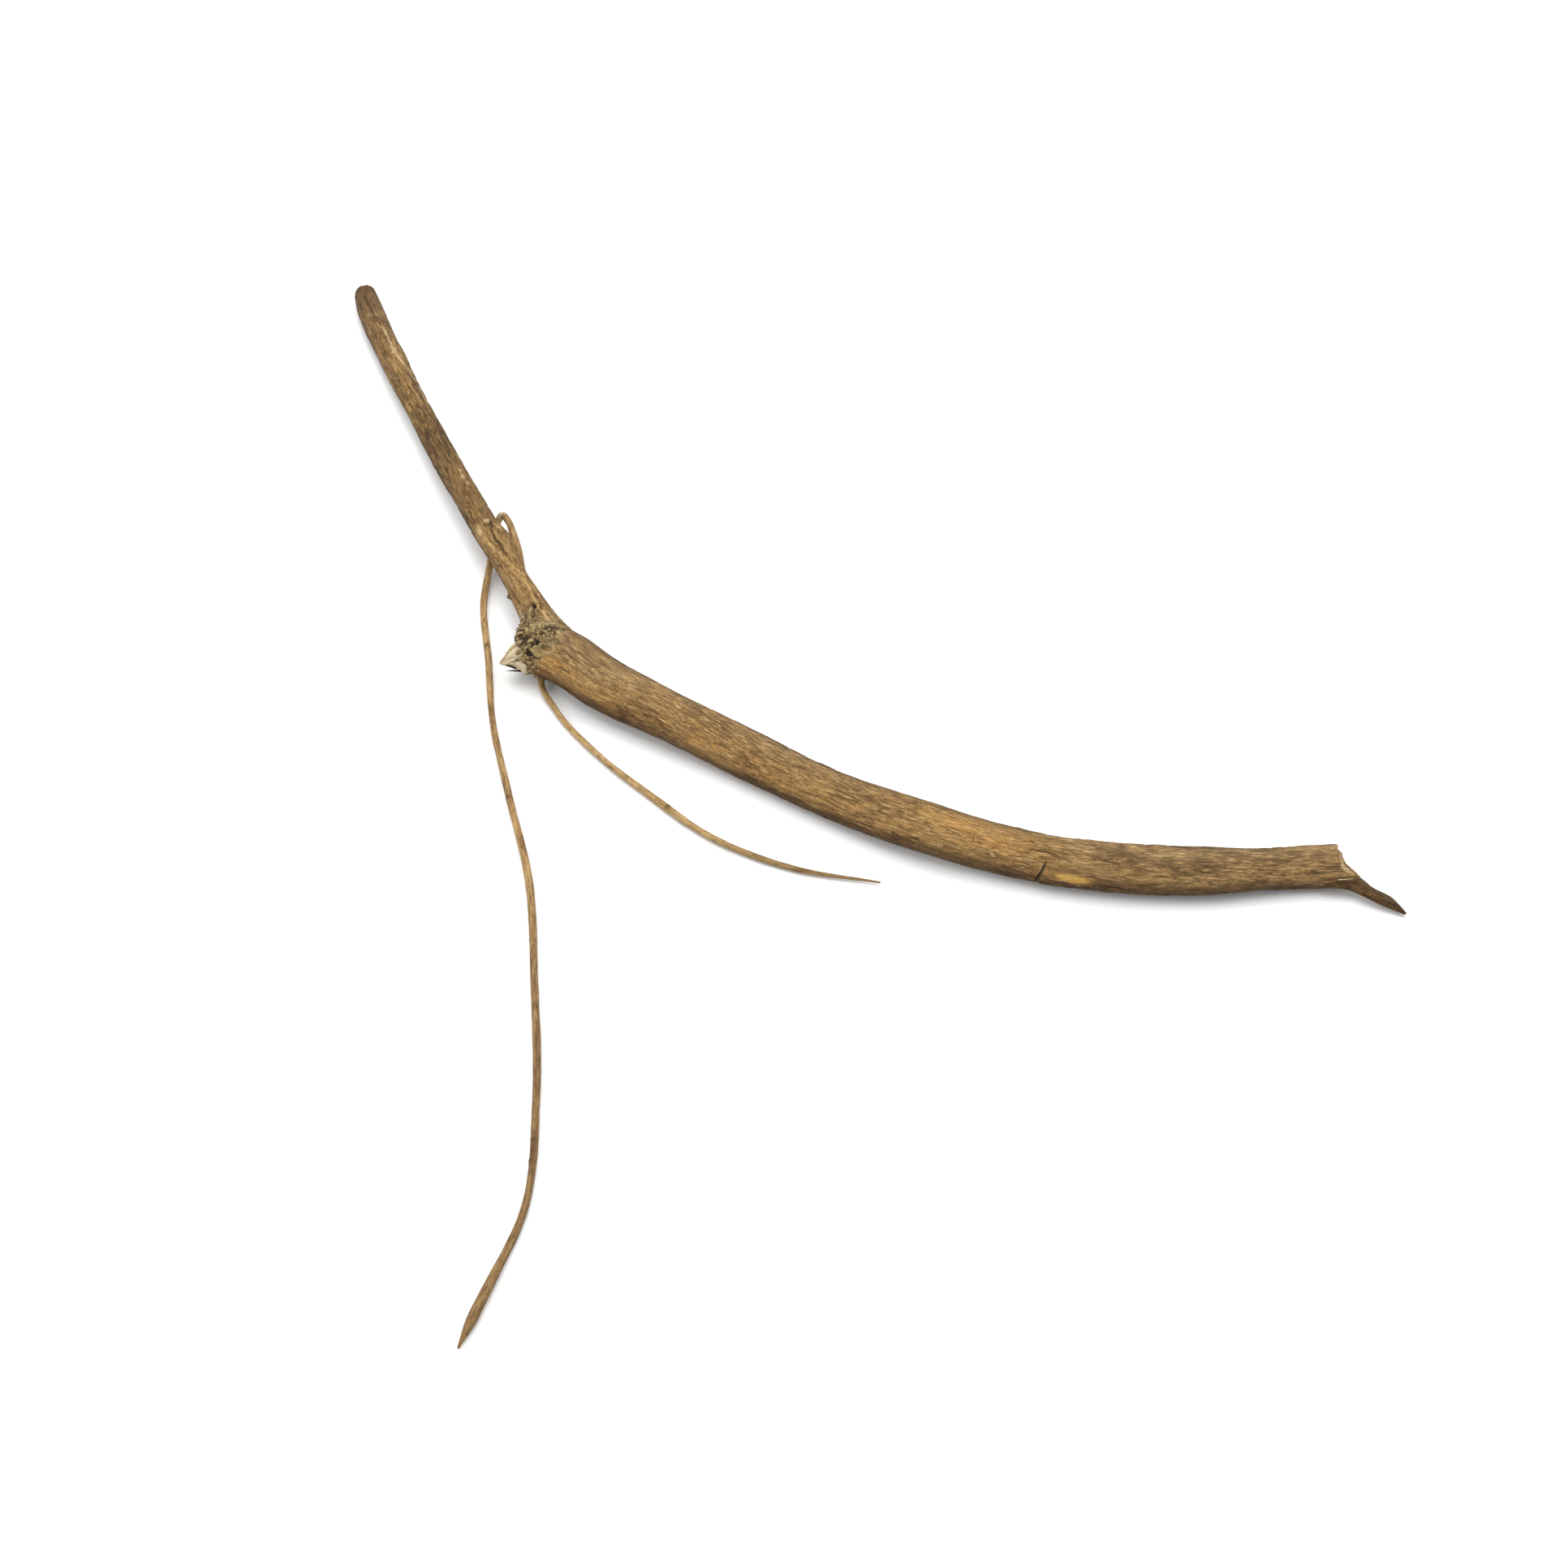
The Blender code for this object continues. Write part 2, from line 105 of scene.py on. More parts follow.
SHORT_ROOTLET_ROUTE = [
    (-55.0, 11.5, 3.6, 0.85),
    (-55.6, 8.0, 2.0, 0.66),
    (-52.2, 0.5, 1.0, 0.6),
    (-44.1, -10.2, 0.95, 0.6),
    (-32.4, -21.7, 0.95, 0.68),
    (-20.3, -32.1, 0.95, 0.61),
    (-5.3, -39.3, 0.9, 0.55),
    (11.5, -42.7, 0.7, 0.22),
]
FORK_RIDGE_ROUTE = [
    (-68.0, 47.5, 7.4, 0.9),
    (-65.5, 43.5, 7.9, 1.3),
    (-62.6, 37.0, 7.7, 1.3),
    (-61.2, 31.0, 7.2, 0.9),
]
STUB_WOOD_ROUTE = [
    (-57.5, 10.6, 6.3, 3.6),
    (-60.6, 9.9, 6.2, 2.5),
    (-62.2, 9.3, 6.0, 1.2),
    (-63.6, 8.7, 5.9, 0.3),
]
STRIP_ROUTE = [
    (92.0, -42.4, 3.2, 2.6),
    (97.0, -43.1, 3.1, 2.9),
    (99.7, -44.3, 2.7, 2.0),
    (102.8, -46.4, 2.2, 1.5),
    (106.0, -48.0, 1.6, 1.35),
    (108.8, -50.1, 0.8, 0.3),
]

# The torn strip's thickness as a share of its width.
STRIP_FLATNESS = 0.55

# The solid's slow bulges: how many go round the limb, and the length of one turn of them.
BULGES = [(2, 61.0), (3, 43.0), (4, 29.0)]

# The arm's rounded tip: its length, how much it narrows (1 is to nothing), and the dome at its end.
TIP_LENGTH = 2.4
TIP_NARROWING = 0.72
TIP_DOME = 0.2

# The crack across the body, past which the bark is a little thicker.
CRACK_AT = 116.7

# How far two limbs melt into each other where they meet.
KNOT_MELT = 1.7
ROOTLET_MELT = 1.0

# The way the knot's folds run, seen from above.
FOLDS_RUN = (0.37, -0.93)

# The body's and the arm's crust come from one noise, so that it runs on from one to the other.
CRUST_SEED = 301

# Lines on the body and the strip: places as (along, degrees), then width, sway, broken and seed.
RING_SCAR = (
    [(5.0, 47), (6.3, 36), (8.2, 25), (10.0, 22), (10.7, 28), (9.8, 41), (8.2, 50), (6.2, 55), (5.0, 47)],
    0.3, 0.3, 0.25, 141,
)
BELOW_SCAR = ([(4.2, 66), (6.4, 64), (8.2, 58)], 0.3, 0.3, 0.1, 143)
SCAR_LID = ([(6.5, -7), (7.4, -17), (8.6, -23), (9.6, -27)], 0.24, 0.25, 0.0, 144)
SCAR_BROW = ([(6.9, -18), (7.7, -28), (9.0, -33)], 0.45, 0.2, 0.0, 145)
CRACK_LINE = ([(117.4, 46), (117.0, 68), (116.5, 90), (115.9, 118)], 0.19, 0.16, 0.0, 146)
BODY_STRAND = ([(110.5, -53), (116.0, -36), (121.5, -20)], 0.17, 0.3, 0.4, 147)
STRIP_RIM = ([(5.0, -30), (7.5, -38), (10.0, -40)], 0.25, 0.3, 0.3, 193)

# Lines on the arm.
ARM_GROOVE = ([(6.5, 12), (10.5, 6), (16.5, 0)], 0.2, 0.25, 0.2, 173)
# NUB_SHADOW is the painted shadow below the pale nub.
NUB_SHADOW = ([(96.9, 10), (97.3, -5), (96.8, -22), (95.8, -28)], 0.22, 0.1, 0.0, 174)
FORK_GROOVE = ([(97.6, -22), (98.6, -5), (102.3, 4), (105.0, -1), (107.5, -2)], 0.24, 0.3, 0.0, 178)
ARM_STRAND = ([(122.0, 72), (125.0, 62), (128.5, 55)], 0.22, 0.3, 0.2, 184)

# Lines on the arm that lie over each other, each with its share first.
PEEL_LINE = [(19.5, -10), (22, -11), (27.6, -14), (32.5, -17), (35, -30), (37, -47), (42, -52), (50.4, -52)]
PEELED_LINES = [
    (1.0, PEEL_LINE, 0.2, 0.3, 0.2, 172),
    (1.0, PEEL_LINE[2:5], 0.34, 0.3, 0.0, 182),
    (1.0, PEEL_LINE[5:], 0.26, 0.1, 0.0, 186),
]
KNOT_CHANNELS = [
    (1.0, [(123.3, 2), (125.5, 13), (127.5, 21), (131.0, 27)], 0.25, 0.3, 0.1, 179),
    (0.7, [(125.8, 6), (127.6, 0), (129.4, 8), (131.4, 3)], 0.2, 0.35, 0.2, 180),
]
ARM_STREAKS = [
    (1.0, [(100.0, 42), (102.5, 35), (105.0, 29), (108.0, 17)], 0.26, 0.6, 0.5, 175),
    (1.0, [(106.5, 20), (110.2, 6), (112.4, -10), (114.6, -27)], 0.2, 0.55, 0.4, 181),
    (1.0, [(115.2, -17), (118.8, -13), (121.4, -10), (124.5, -9)], 0.2, 0.3, 0.3, 176),
    (1.0, [(126.5, -13), (130.6, -10)], 0.2, 0.2, 0.0, 183),
]

# Single ovals on the bark: along, degrees, length and width.
SCAR_LIP = (6.7, 47, 1.1, 0.5)
SCAR_MIDDLE = (8.4, 33, 1.1, 0.7)
KNOT_HOLLOW = (2.6, 24, 0.9, 1.1)
STUB_FLAT = (0.2, -20, 2.6, 3.0)
EYE_SCAR = (76.9, 41, 1.5, 1.0)
KNOT_DUST = (17, 2, 8.0, 3.4)
BODY_UNDUSTED = (104, 0, 22.0, 9.0)
ARM_NUB = (96.1, -3, 0.7, 0.75)
LEFT_NUB = (116.4, 88, 0.6, 0.55)
ARM_PIT = (123.6, 3, 1.0, 0.5)

# Ovals that lie over each other, each with its share first.
BODY_WORN = [
    (1.0, 12.8, 62, 4.4, 2.4),
    (0.5, 21, 80, 9.0, 2.6),
    (0.9, 98, -5, 9.0, 3.2),
    (0.9, 108, 18, 7.0, 2.6),
    (0.5, 60, 60, 22.0, 2.6),
    (0.35, 150, 40, 25.0, 4.0),
    (0.7, 168, 18, 6.0, 1.4),
    (0.5, 128, -15, 8.0, 2.5),
]
BODY_BROWNED = [(0.3, 15, 5, 8.0, 4.0), (0.22, 44, 5, 7.0, 5.0)]
ORANGE_PATCH = [(1.0, 9.6, 58, 1.9, 1.1), (0.6, 12.6, 66, 2.6, 1.0)]
YELLOW_SPOT = [(1.0, 123.2, 82, 2.8, 0.85), (0.6, 121.0, 76, 1.4, 0.5)]
ARM_WORN = [(0.4, 85, -10, 25.0, 2.6), (0.6, 110, 0, 14.0, 2.4), (0.3, 38, 10, 16, 2.0)]
ARM_CHIPS = [(1.0, 77.7, -18, 0.6, 0.35), (1.0, 79.9, -14, 0.8, 0.4), (0.7, 82.6, -21, 0.6, 0.35)]
PALE_BY_FORK = [(1.0, 96.9, 40, 1.3, 0.65), (1.0, 98.2, 47, 0.9, 0.45)]

# Dark knees and open cracks on the rootlets, as (along, degrees).
LONG_ROOTLET_KNEES = [(178, 20), (182, 60), (60, 10), (101, 40)]
LONG_ROOTLET_CRACKS = [(22.2, -42)]
SHORT_ROOTLET_KNEES = [(47, 0)]

# Ends with torn fibres: the route, how far along it, how many fibres, and the longest of them.
TORN_ENDS = [(STUB_WOOD_ROUTE, 0.55, 26, 2.2), (BODY_ROUTE, 1.0, 30, 1.6)]

# The seeds of the pieces that are strewn.
SPLINTER_SEED = 51
FLAKE_SEED = 41
BODY_FIBRE_SEED = 71
ARM_FIBRE_SEED = 72

# How many points are measured against a route at a time, to spare memory.
BATCH = 4000

# The light on a top side, as a multiple of the light that shows a colour as it is.
STUDIO_LIGHT = 1.5

# What is left of a colour under soil stain, and under the painted shade on the undersides.
SOIL_AND_SHADE_TINT = (0.36, 0.31, 0.26, 1.0)

# The camera's lens and sensor in millimetres, and its angle above the floor in degrees.
LENS = 50.0
SENSOR_WIDTH = 36.0
CAMERA_RISE = 50.0

# The camera's distance from the point that it faces, and that point, in metres.
CAMERA_AWAY = 0.425
CAMERA_AIM = (-0.0065, -0.018, 0.0)


def smooth_route(route):
    """A smooth curve through the route's points: distances along it, and the points with their radii.

    Each span is a cubic whose slope at a point is that of the chord between its neighbours.
    """
    knots = np.array(route, float)
    chords = np.linalg.norm(np.diff(knots[:, :3], axis=0), axis=1)
    at = np.concatenate([[0.0], np.cumsum(chords)])
    slopes = np.gradient(knots, at, axis=0)
    fine = np.linspace(0.0, at[-1], POINTS_PER_SPAN * len(route))
    span = np.clip(np.searchsorted(at, fine, side="right") - 1, 0, len(at) - 2)
    width = (at[span + 1] - at[span])[:, None]
    t = (fine[:, None] - at[span][:, None]) / width
    leaving = (2 * t**3 - 3 * t**2 + 1) * knots[span] + (t**3 - 2 * t**2 + t) * width * slopes[span]
    reaching = (3 * t**2 - 2 * t**3) * knots[span + 1] + (t**3 - t**2) * width * slopes[span + 1]
    curve = leaving + reaching
    steps = np.linalg.norm(np.diff(curve[:, :3], axis=0), axis=1)
    return np.concatenate([[0.0], np.cumsum(steps)]), curve


def rings_along(route, step, close=()):
    """Distances, points and radii at rings a step apart, and nearer each other in the close stretches.

    Each of them is (start, finish, step), where a negative start counts back from the route's end.
    """
    run, curve = smooth_route(route)
    crowding = np.full(len(run), 1.0 / step)
    for start, finish, near_step in close:
        if start < 0:
            start, finish = run[-1] + start, run[-1] + finish
        crowding = np.where((run >= start) & (run <= finish), 1.0 / near_step, crowding)
    counted = np.concatenate([[0.0], np.cumsum(np.diff(run) * 0.5 * (crowding[1:] + crowding[:-1]))])
    along = np.interp(np.linspace(0.0, counted[-1], int(round(counted[-1])) + 1), counted, run)
    even = np.column_stack([np.interp(along, run, curve[:, k]) for k in range(4)])
    return along, even[:, :3], even[:, 3]


def route_frames(points, top=UP):
    """The way along at each point, the top side, and the side at right angles to both."""
    ahead = np.gradient(points, axis=0)
    ahead /= np.linalg.norm(ahead, axis=1)[:, None]
    upper = np.array(top) - (ahead @ np.array(top))[:, None] * ahead
    upper /= np.linalg.norm(upper, axis=1)[:, None]
    return ahead, upper, np.cross(ahead, upper)


def outward(upper, side, angle):
    """The way out from a limb's middle, at an angle from its top side: cos upper + sin side."""
    return math.cos(angle) * upper + math.sin(angle) * side


def smooth_rise(low, high, x):
    """0 below low, 1 above high, and a smooth rise between them: t t (3 - 2 t)."""
    t = np.clip((x - low) / (high - low), 0.0, 1.0)
    return t * t * (3 - 2 * t)


def band(start, full, fading, gone, x):
    """0 outside start and gone, 1 from full to fading, and a smooth rise between them."""
    return smooth_rise(start, full, x) * (1 - smooth_rise(fading, gone, x))


def bell(x, width):
    """1 at 0 and falling away on both sides: exp(-(x / width)^2)."""
    return np.exp(-((x / width) ** 2))


def cell_number(cells, seed):
    """A number from -1 to 1 for each whole-number cell of space, always the same for a seed."""
    x, y, z = (cells[..., k].astype(np.int64).astype(np.uint32) for k in range(3))
    mixed = x * np.uint32(0x8DA6B343) ^ y * np.uint32(0xD8163841) ^ z * np.uint32(0xCB1AB31F)
    mixed ^= np.uint32((seed * 0x9E3779B1) & 0xFFFFFFFF)
    for shift, factor in ((15, 0x2C1B3C6D), (12, 0x297A2D39), (15, 0x5D1A7F2B)):
        mixed ^= mixed >> np.uint32(shift)
        mixed *= np.uint32(factor)
    mixed ^= mixed >> np.uint32(16)
    return mixed.astype(float) / 2**31 - 1.0


def cloud(points, seed):
    """Smooth noise from -1 to 1: the numbers of the eight nearest cells, blended by t t (3 - 2 t)."""
    cells = np.floor(points)
    t = points - cells
    t = t * t * (3 - 2 * t)
    total = 0.0
    for corner in itertools.product((0, 1), repeat=3):
        share = np.prod(np.where(np.array(corner) == 1, t, 1 - t), axis=-1)
        total = total + share * cell_number(cells + corner, seed)
    return total


def clouds(points, seed, layers):
    """Noise in layers, each of about half the size of the one before and 0.55 times its height."""
    total, height, size, most = 0.0, 1.0, 1.0, 0.0
    for layer in range(layers):
        total = total + height * cloud(points * size, seed + 17 * layer)
        most += height
        height *= 0.55
        size *= 2.03
    return total / most


def plates(points, seed):
    """A pattern of cells round strewn points: the gap between the two nearest, and each cell's number.

    One point is strewn in each unit cube. The gap is 0 on the line between two cells.
    """
    cells = np.floor(points)
    near = np.full(points.shape[:-1], 9.0)
    second = near.copy()
    own = np.zeros_like(near)
    for corner in itertools.product((-1, 0, 1), repeat=3):
        cube = cells + corner
        place = cube + 0.5 + 0.45 * np.stack([cell_number(cube, seed + k) for k in range(3)], axis=-1)
        far = np.linalg.norm(points - place, axis=-1)
        closer = far < near
        second = np.where(closer, near, np.minimum(second, far))
        own = np.where(closer, cell_number(cube, seed + 5), own)
        near = np.where(closer, far, near)
    return second - near, own


class Limb:
    """Rings round a route, with rings that close in over each end.

    A surface point is middle + share * reach * out + lift * ahead. share is 1 along the limb and
    falls to 0 at the middle of an end; end is -1 on the first end, 1 on the last and 0 elsewhere.
    grain is the point on a round log of an even radius, size, so that patterns run along the limb.
    """

    def __init__(self, route, sides, step, close=(), caps=6, twist=0.0, flatness=1.0, top=UP):
        along, middle, radius = rings_along(route, step, close)
        ahead, upper, side = route_frames(middle, top)
        closing = np.sin(np.linspace(0, math.pi / 2, caps + 2)[1:-1])
        first, last = np.zeros(caps, int), np.full(caps, len(along) - 1)
        order = np.concatenate([first, np.arange(len(along)), last])
        wide = np.ones((1, sides))
        self.length = along[-1]
        self.size = float(np.median(radius))
        self.share = np.concatenate([closing, np.ones(len(along)), closing[::-1]])[:, None] * wide
        self.end = np.repeat([-1.0, 0.0, 1.0], [caps, len(along), caps])[:, None] * wide
        self.along = along[order][:, None] * wide
        self.radius = radius[order][:, None] * wide
        self.angle = np.arange(sides) * 2 * math.pi / sides + twist * self.along
        self.middle, self.ahead = middle[order][:, None, :], ahead[order][:, None, :]
        self.out = np.cos(self.angle)[..., None] * flatness * upper[order][:, None, :]
        self.out = self.out + np.sin(self.angle)[..., None] * side[order][:, None, :]
        inward = self.share * self.size
        straight = self.angle - twist * self.along
        down = self.along + (1 - self.share) * self.size * self.end
        self.grain = np.stack([inward * np.cos(straight), inward * np.sin(straight), down], axis=-1)

    def skin(self, reach, lift=0.0):
        """The surface points for a reach out from the middle and a lift along the limb."""
        lift = np.zeros_like(reach) + lift
        return self.middle + (self.share * reach)[..., None] * self.out + lift[..., None] * self.ahead

    def dome(self, height):
        """A lift that rounds off both ends: end * height * sqrt(1 - share^2)."""
        return self.end * height * np.sqrt(np.clip(1 - self.share**2, 0.0, 1.0))

    def fibres(self, across, along, seed, layers=2):
        """Noise that is drawn out along the grain."""
        return clouds(self.grain / np.array([across, across, along]), seed, layers)

    def net(self, across, along, seed, width):
        """Thin wandering lines along the grain, where a noise crosses zero: exp(-(noise / width)^2)."""
        return bell(self.fibres(across, along, seed), width)

    def round_from(self, degrees):
        """The angle from a place on the limb, the short way round."""
        return (self.angle - math.radians(degrees) + math.pi) % (2 * math.pi) - math.pi

    def patch(self, along, degrees, length, width):
        """A soft oval on the bark: exp(-(a / length)^2 - (c / width)^2), with a along and c across."""
        a = (self.along - along) / length
        c = self.round_from(degrees) * self.size / width
        return np.exp(-a * a - c * c)

    def patches(self, table):
        """Ovals over each other: the sum of share * patch, for rows of a share and a patch's values."""
        return sum(share * self.patch(*values) for share, *values in table)

    def stroke(self, places, width, sway, broken, seed):
        """A soft line on the bark through places given as (along, degrees): exp(-(distance / width)^2).

        sway bends it to and fro by about that many millimetres, and broken, from 0 to 1, cuts gaps in it.
        """
        bend = [sway * self.fibres(0.6, 0.9, seed + k) if sway else 0.0 for k in range(2)]
        nearest = np.full(self.along.shape, 99.0)
        for (a0, t0), (a1, t1) in zip(places, places[1:]):
            x, y = self.along - a0 + bend[0], self.round_from(t0) * self.size + bend[1]
            dx, dy = a1 - a0, math.radians(t1 - t0) * self.size
            t = np.clip((x * dx + y * dy) / (dx * dx + dy * dy), 0.0, 1.0)
            nearest = np.minimum(nearest, np.hypot(x - t * dx, y - t * dy))
        line = bell(nearest, width)
        if broken:
            line = line * (1 - broken * smooth_rise(-0.1, 0.2, self.fibres(0.9, 1.3, seed + 7)))
        return line

    def strokes(self, table):
        """Lines over each other: the sum of share * stroke, for rows of a share and a stroke's values."""
        return sum(share * self.stroke(*values) for share, *values in table)


def bulges(limb, seed, amount):
    """The solid's slow bulges and flats, which turn round the limb as it grows."""
    phases = np.random.default_rng(seed).uniform(0, 2 * math.pi, len(BULGES))
    total = 0.0
    for (count, pitch), phase in zip(BULGES, phases):
        total = total + np.cos(count * limb.angle + 2 * math.pi * limb.along / pitch + phase)
    return limb.radius * amount * total / len(BULGES)


def melt(points, others, reach):
    """How far a surface swells where it nears other limbs, so that they run into each other.

    With d the distance from the other limb's surface, that is reach / 4 * (1 - |d| / reach)^2.
    """
    flat = points.reshape(-1, 3)
    swell = np.zeros(len(flat))
    for route in others:
        curve = smooth_route(route)[1][::4]
        margin = curve[:, 3].max() + reach
        low, high = curve[:, :3].min(axis=0) - margin, curve[:, :3].max(axis=0) + margin
        near = np.flatnonzero(np.all((flat > low) & (flat < high), axis=1))
        for part in np.array_split(near, max(1, len(near) // BATCH)):
            gap = np.linalg.norm(flat[part][:, None, :] - curve[None, :, :3], axis=2) - curve[None, :, 3]
            d = np.abs(gap.min(axis=1))
            swell[part] += reach / 4 * np.clip(1 - d / reach, 0.0, None) ** 2
    return swell.reshape(points.shape[:-1])


def bark_relief(limb, seed, coarse, fine):
    """Ridges, fibres and wrinkles along the grain, in millimetres, and how deep each place is, 0 to 1."""
    ridges = limb.fibres(1.9, 21.0, seed)
    strands = limb.fibres(0.75, 6.0, seed + 1)
    hairs = limb.fibres(0.4, 2.4, seed + 2)
    wrinkles = limb.net(1.0, 4.6, seed + 3, 0.15)
    wrinkles = wrinkles * smooth_rise(-0.7, 0.2, limb.fibres(3.5, 10.0, seed + 4, 1))
    height = coarse * ridges + fine * (0.6 * strands + 0.45 * hairs) - 0.95 * fine * wrinkles
    deep = np.clip(0.4 - 0.35 * strands - 0.4 * hairs - 0.2 * ridges + 0.55 * wrinkles, 0.0, 1.0)
    return height, deep


def crust_relief(points, seed):
    """Rough scaly bark: lumps, curled folds, crumbs and gaps, and how deep each place is, 0 to 1.

    It depends on the place in space alone, so it runs on unbroken from one limb to the next. The folds
    run the way the arm does.
    """
    flat = points[..., :2]
    turned = np.stack([flat @ FOLDS_RUN, flat @ [-FOLDS_RUN[1], FOLDS_RUN[0]], points[..., 2]], axis=-1)
    warp = np.stack([cloud(points / 1.4, seed + 40 + k) for k in range(3)], axis=-1)
    lumps = clouds(points / 2.6, seed + 7, 4)
    folds = 1 - 3.2 * np.abs(clouds(turned / np.array([3.4, 1.4, 1.6]) + 0.45 * warp, seed + 9, 2))
    crumbs = clouds(points / 0.6 + 0.4 * warp, seed + 11, 2)
    gap, own = plates(points / 1.3 + 0.35 * warp, seed)
    open_gap = 1 - smooth_rise(0.0, 0.2, gap)
    height = 0.46 * lumps + 0.22 * folds + 0.08 * crumbs + 0.1 * own * (1 - open_gap) - 0.14 * open_gap
    deep = np.clip(0.48 - 0.5 * lumps - 0.3 * folds - 0.2 * crumbs - 0.12 * own + 0.35 * open_gap, 0.0, 1.0)
    return height, deep


def torn_lift(limb, which, seed, jag, hollow):
    """How far fibres stand out at a torn end: jagged at the rim, hollow inside it, and spiky all over."""
    inside = (limb.end == which) * (1 - limb.share**2)
    from_end = limb.along if which < 0 else limb.length - limb.along
    fade = bell(from_end, 1.3)
    spoke = np.stack([np.cos(limb.angle), np.sin(limb.angle), 0 * limb.angle], axis=-1)
    rim = jag * clouds(spoke * 3.4 + 9.0, seed, 3)
    spikes = 0.7 * clouds(limb.grain * [1.9, 1.9, 0.0] + 5.0, seed + 1, 3)
    return which * (fade * rim + inside * (spikes - hollow))


def skin_faces(rings, sides):
    """Four-sided faces between the rings, and a fan of triangles to a pole at each end."""
    grid = np.arange(rings * sides).reshape(rings, sides)
    beside = np.roll(grid, -1, axis=1)
    quads = np.stack([grid[:-1], beside[:-1], beside[1:], grid[1:]], axis=-1).reshape(-1, 4)
    poles = np.full((2, sides), rings * sides) + [[0], [1]]
    first = np.stack([poles[0], beside[0], grid[0]], axis=-1)
    last = np.stack([poles[1], grid[-1], beside[-1]], axis=-1)
    return quads, np.vstack([first, last])


def with_poles(rings):
    """Ring values as a list of points, followed by the mean of the first ring and of the last."""
    flat = rings.reshape(-1, *rings.shape[2:])
    return np.concatenate([flat, [rings[0].mean(axis=0), rings[-1].mean(axis=0)]])


# What the mesh tells the material at each point, beside its grain.
MARKS = ("deep", "worn", "dusk", "tan", "crust", "bare", "dark_colour_and_shade", "soil_and_shade")


def make_piece(name, skins, material):
    """One mesh of closed skins. A skin is its rings of points, its grain, and its marks by name.

    The marks are numbers from 0 to 1 that the material reads: deep is how far a place lies down in
    the relief, and the materials darken deep places as painted shade; worn is rubbed bark, dusk is
    grey dusty bark, tan is a smooth yellow spot, crust is the knot's scaly bark, bare is wood without
    bark, scorch is dark bark and wood together with painted shade in grooves, pits and cracks, and
    earth is bark that soil has stained together with painted shade on the undersides.
    """
    points, quads, fans, grain = [], [], [], []
    marks = {mark: [] for mark in MARKS}
    count = 0
    for rings, grain_rings, values in skins:
        flat = with_poles(rings)
        flat[:, 2] = np.maximum(flat[:, 2], 0.0)
        squares, triangles = skin_faces(*rings.shape[:2])
        quads.append(squares + count)
        fans.append(triangles + count)
        points.append(flat)
        grain.append(with_poles(grain_rings))
        for mark in MARKS:
            level = np.zeros(rings.shape[:2]) + values.get(mark, 0.0)
            marks[mark].append(np.clip(with_poles(level), 0.0, 1.0))
        count += len(flat)
    mesh = bpy.data.meshes.new(name)
    faces = np.concatenate(quads).tolist() + np.concatenate(fans).tolist()
    mesh.from_pydata((np.concatenate(points) * MM).tolist(), [], faces)
    mesh.shade_smooth()
    lines = mesh.attributes.new("grain", "FLOAT_VECTOR", "POINT")
    lines.data.foreach_set("vector", np.concatenate(grain).ravel())
    for mark in MARKS:
        levels = mesh.attributes.new(mark, "FLOAT", "POINT")
        levels.data.foreach_set("value", np.concatenate(marks[mark]))
    mesh.materials.append(material)
    piece = bpy.data.objects.new(name, mesh)
    bpy.context.scene.collection.objects.link(piece)
    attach(piece, "root")
    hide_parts("root")


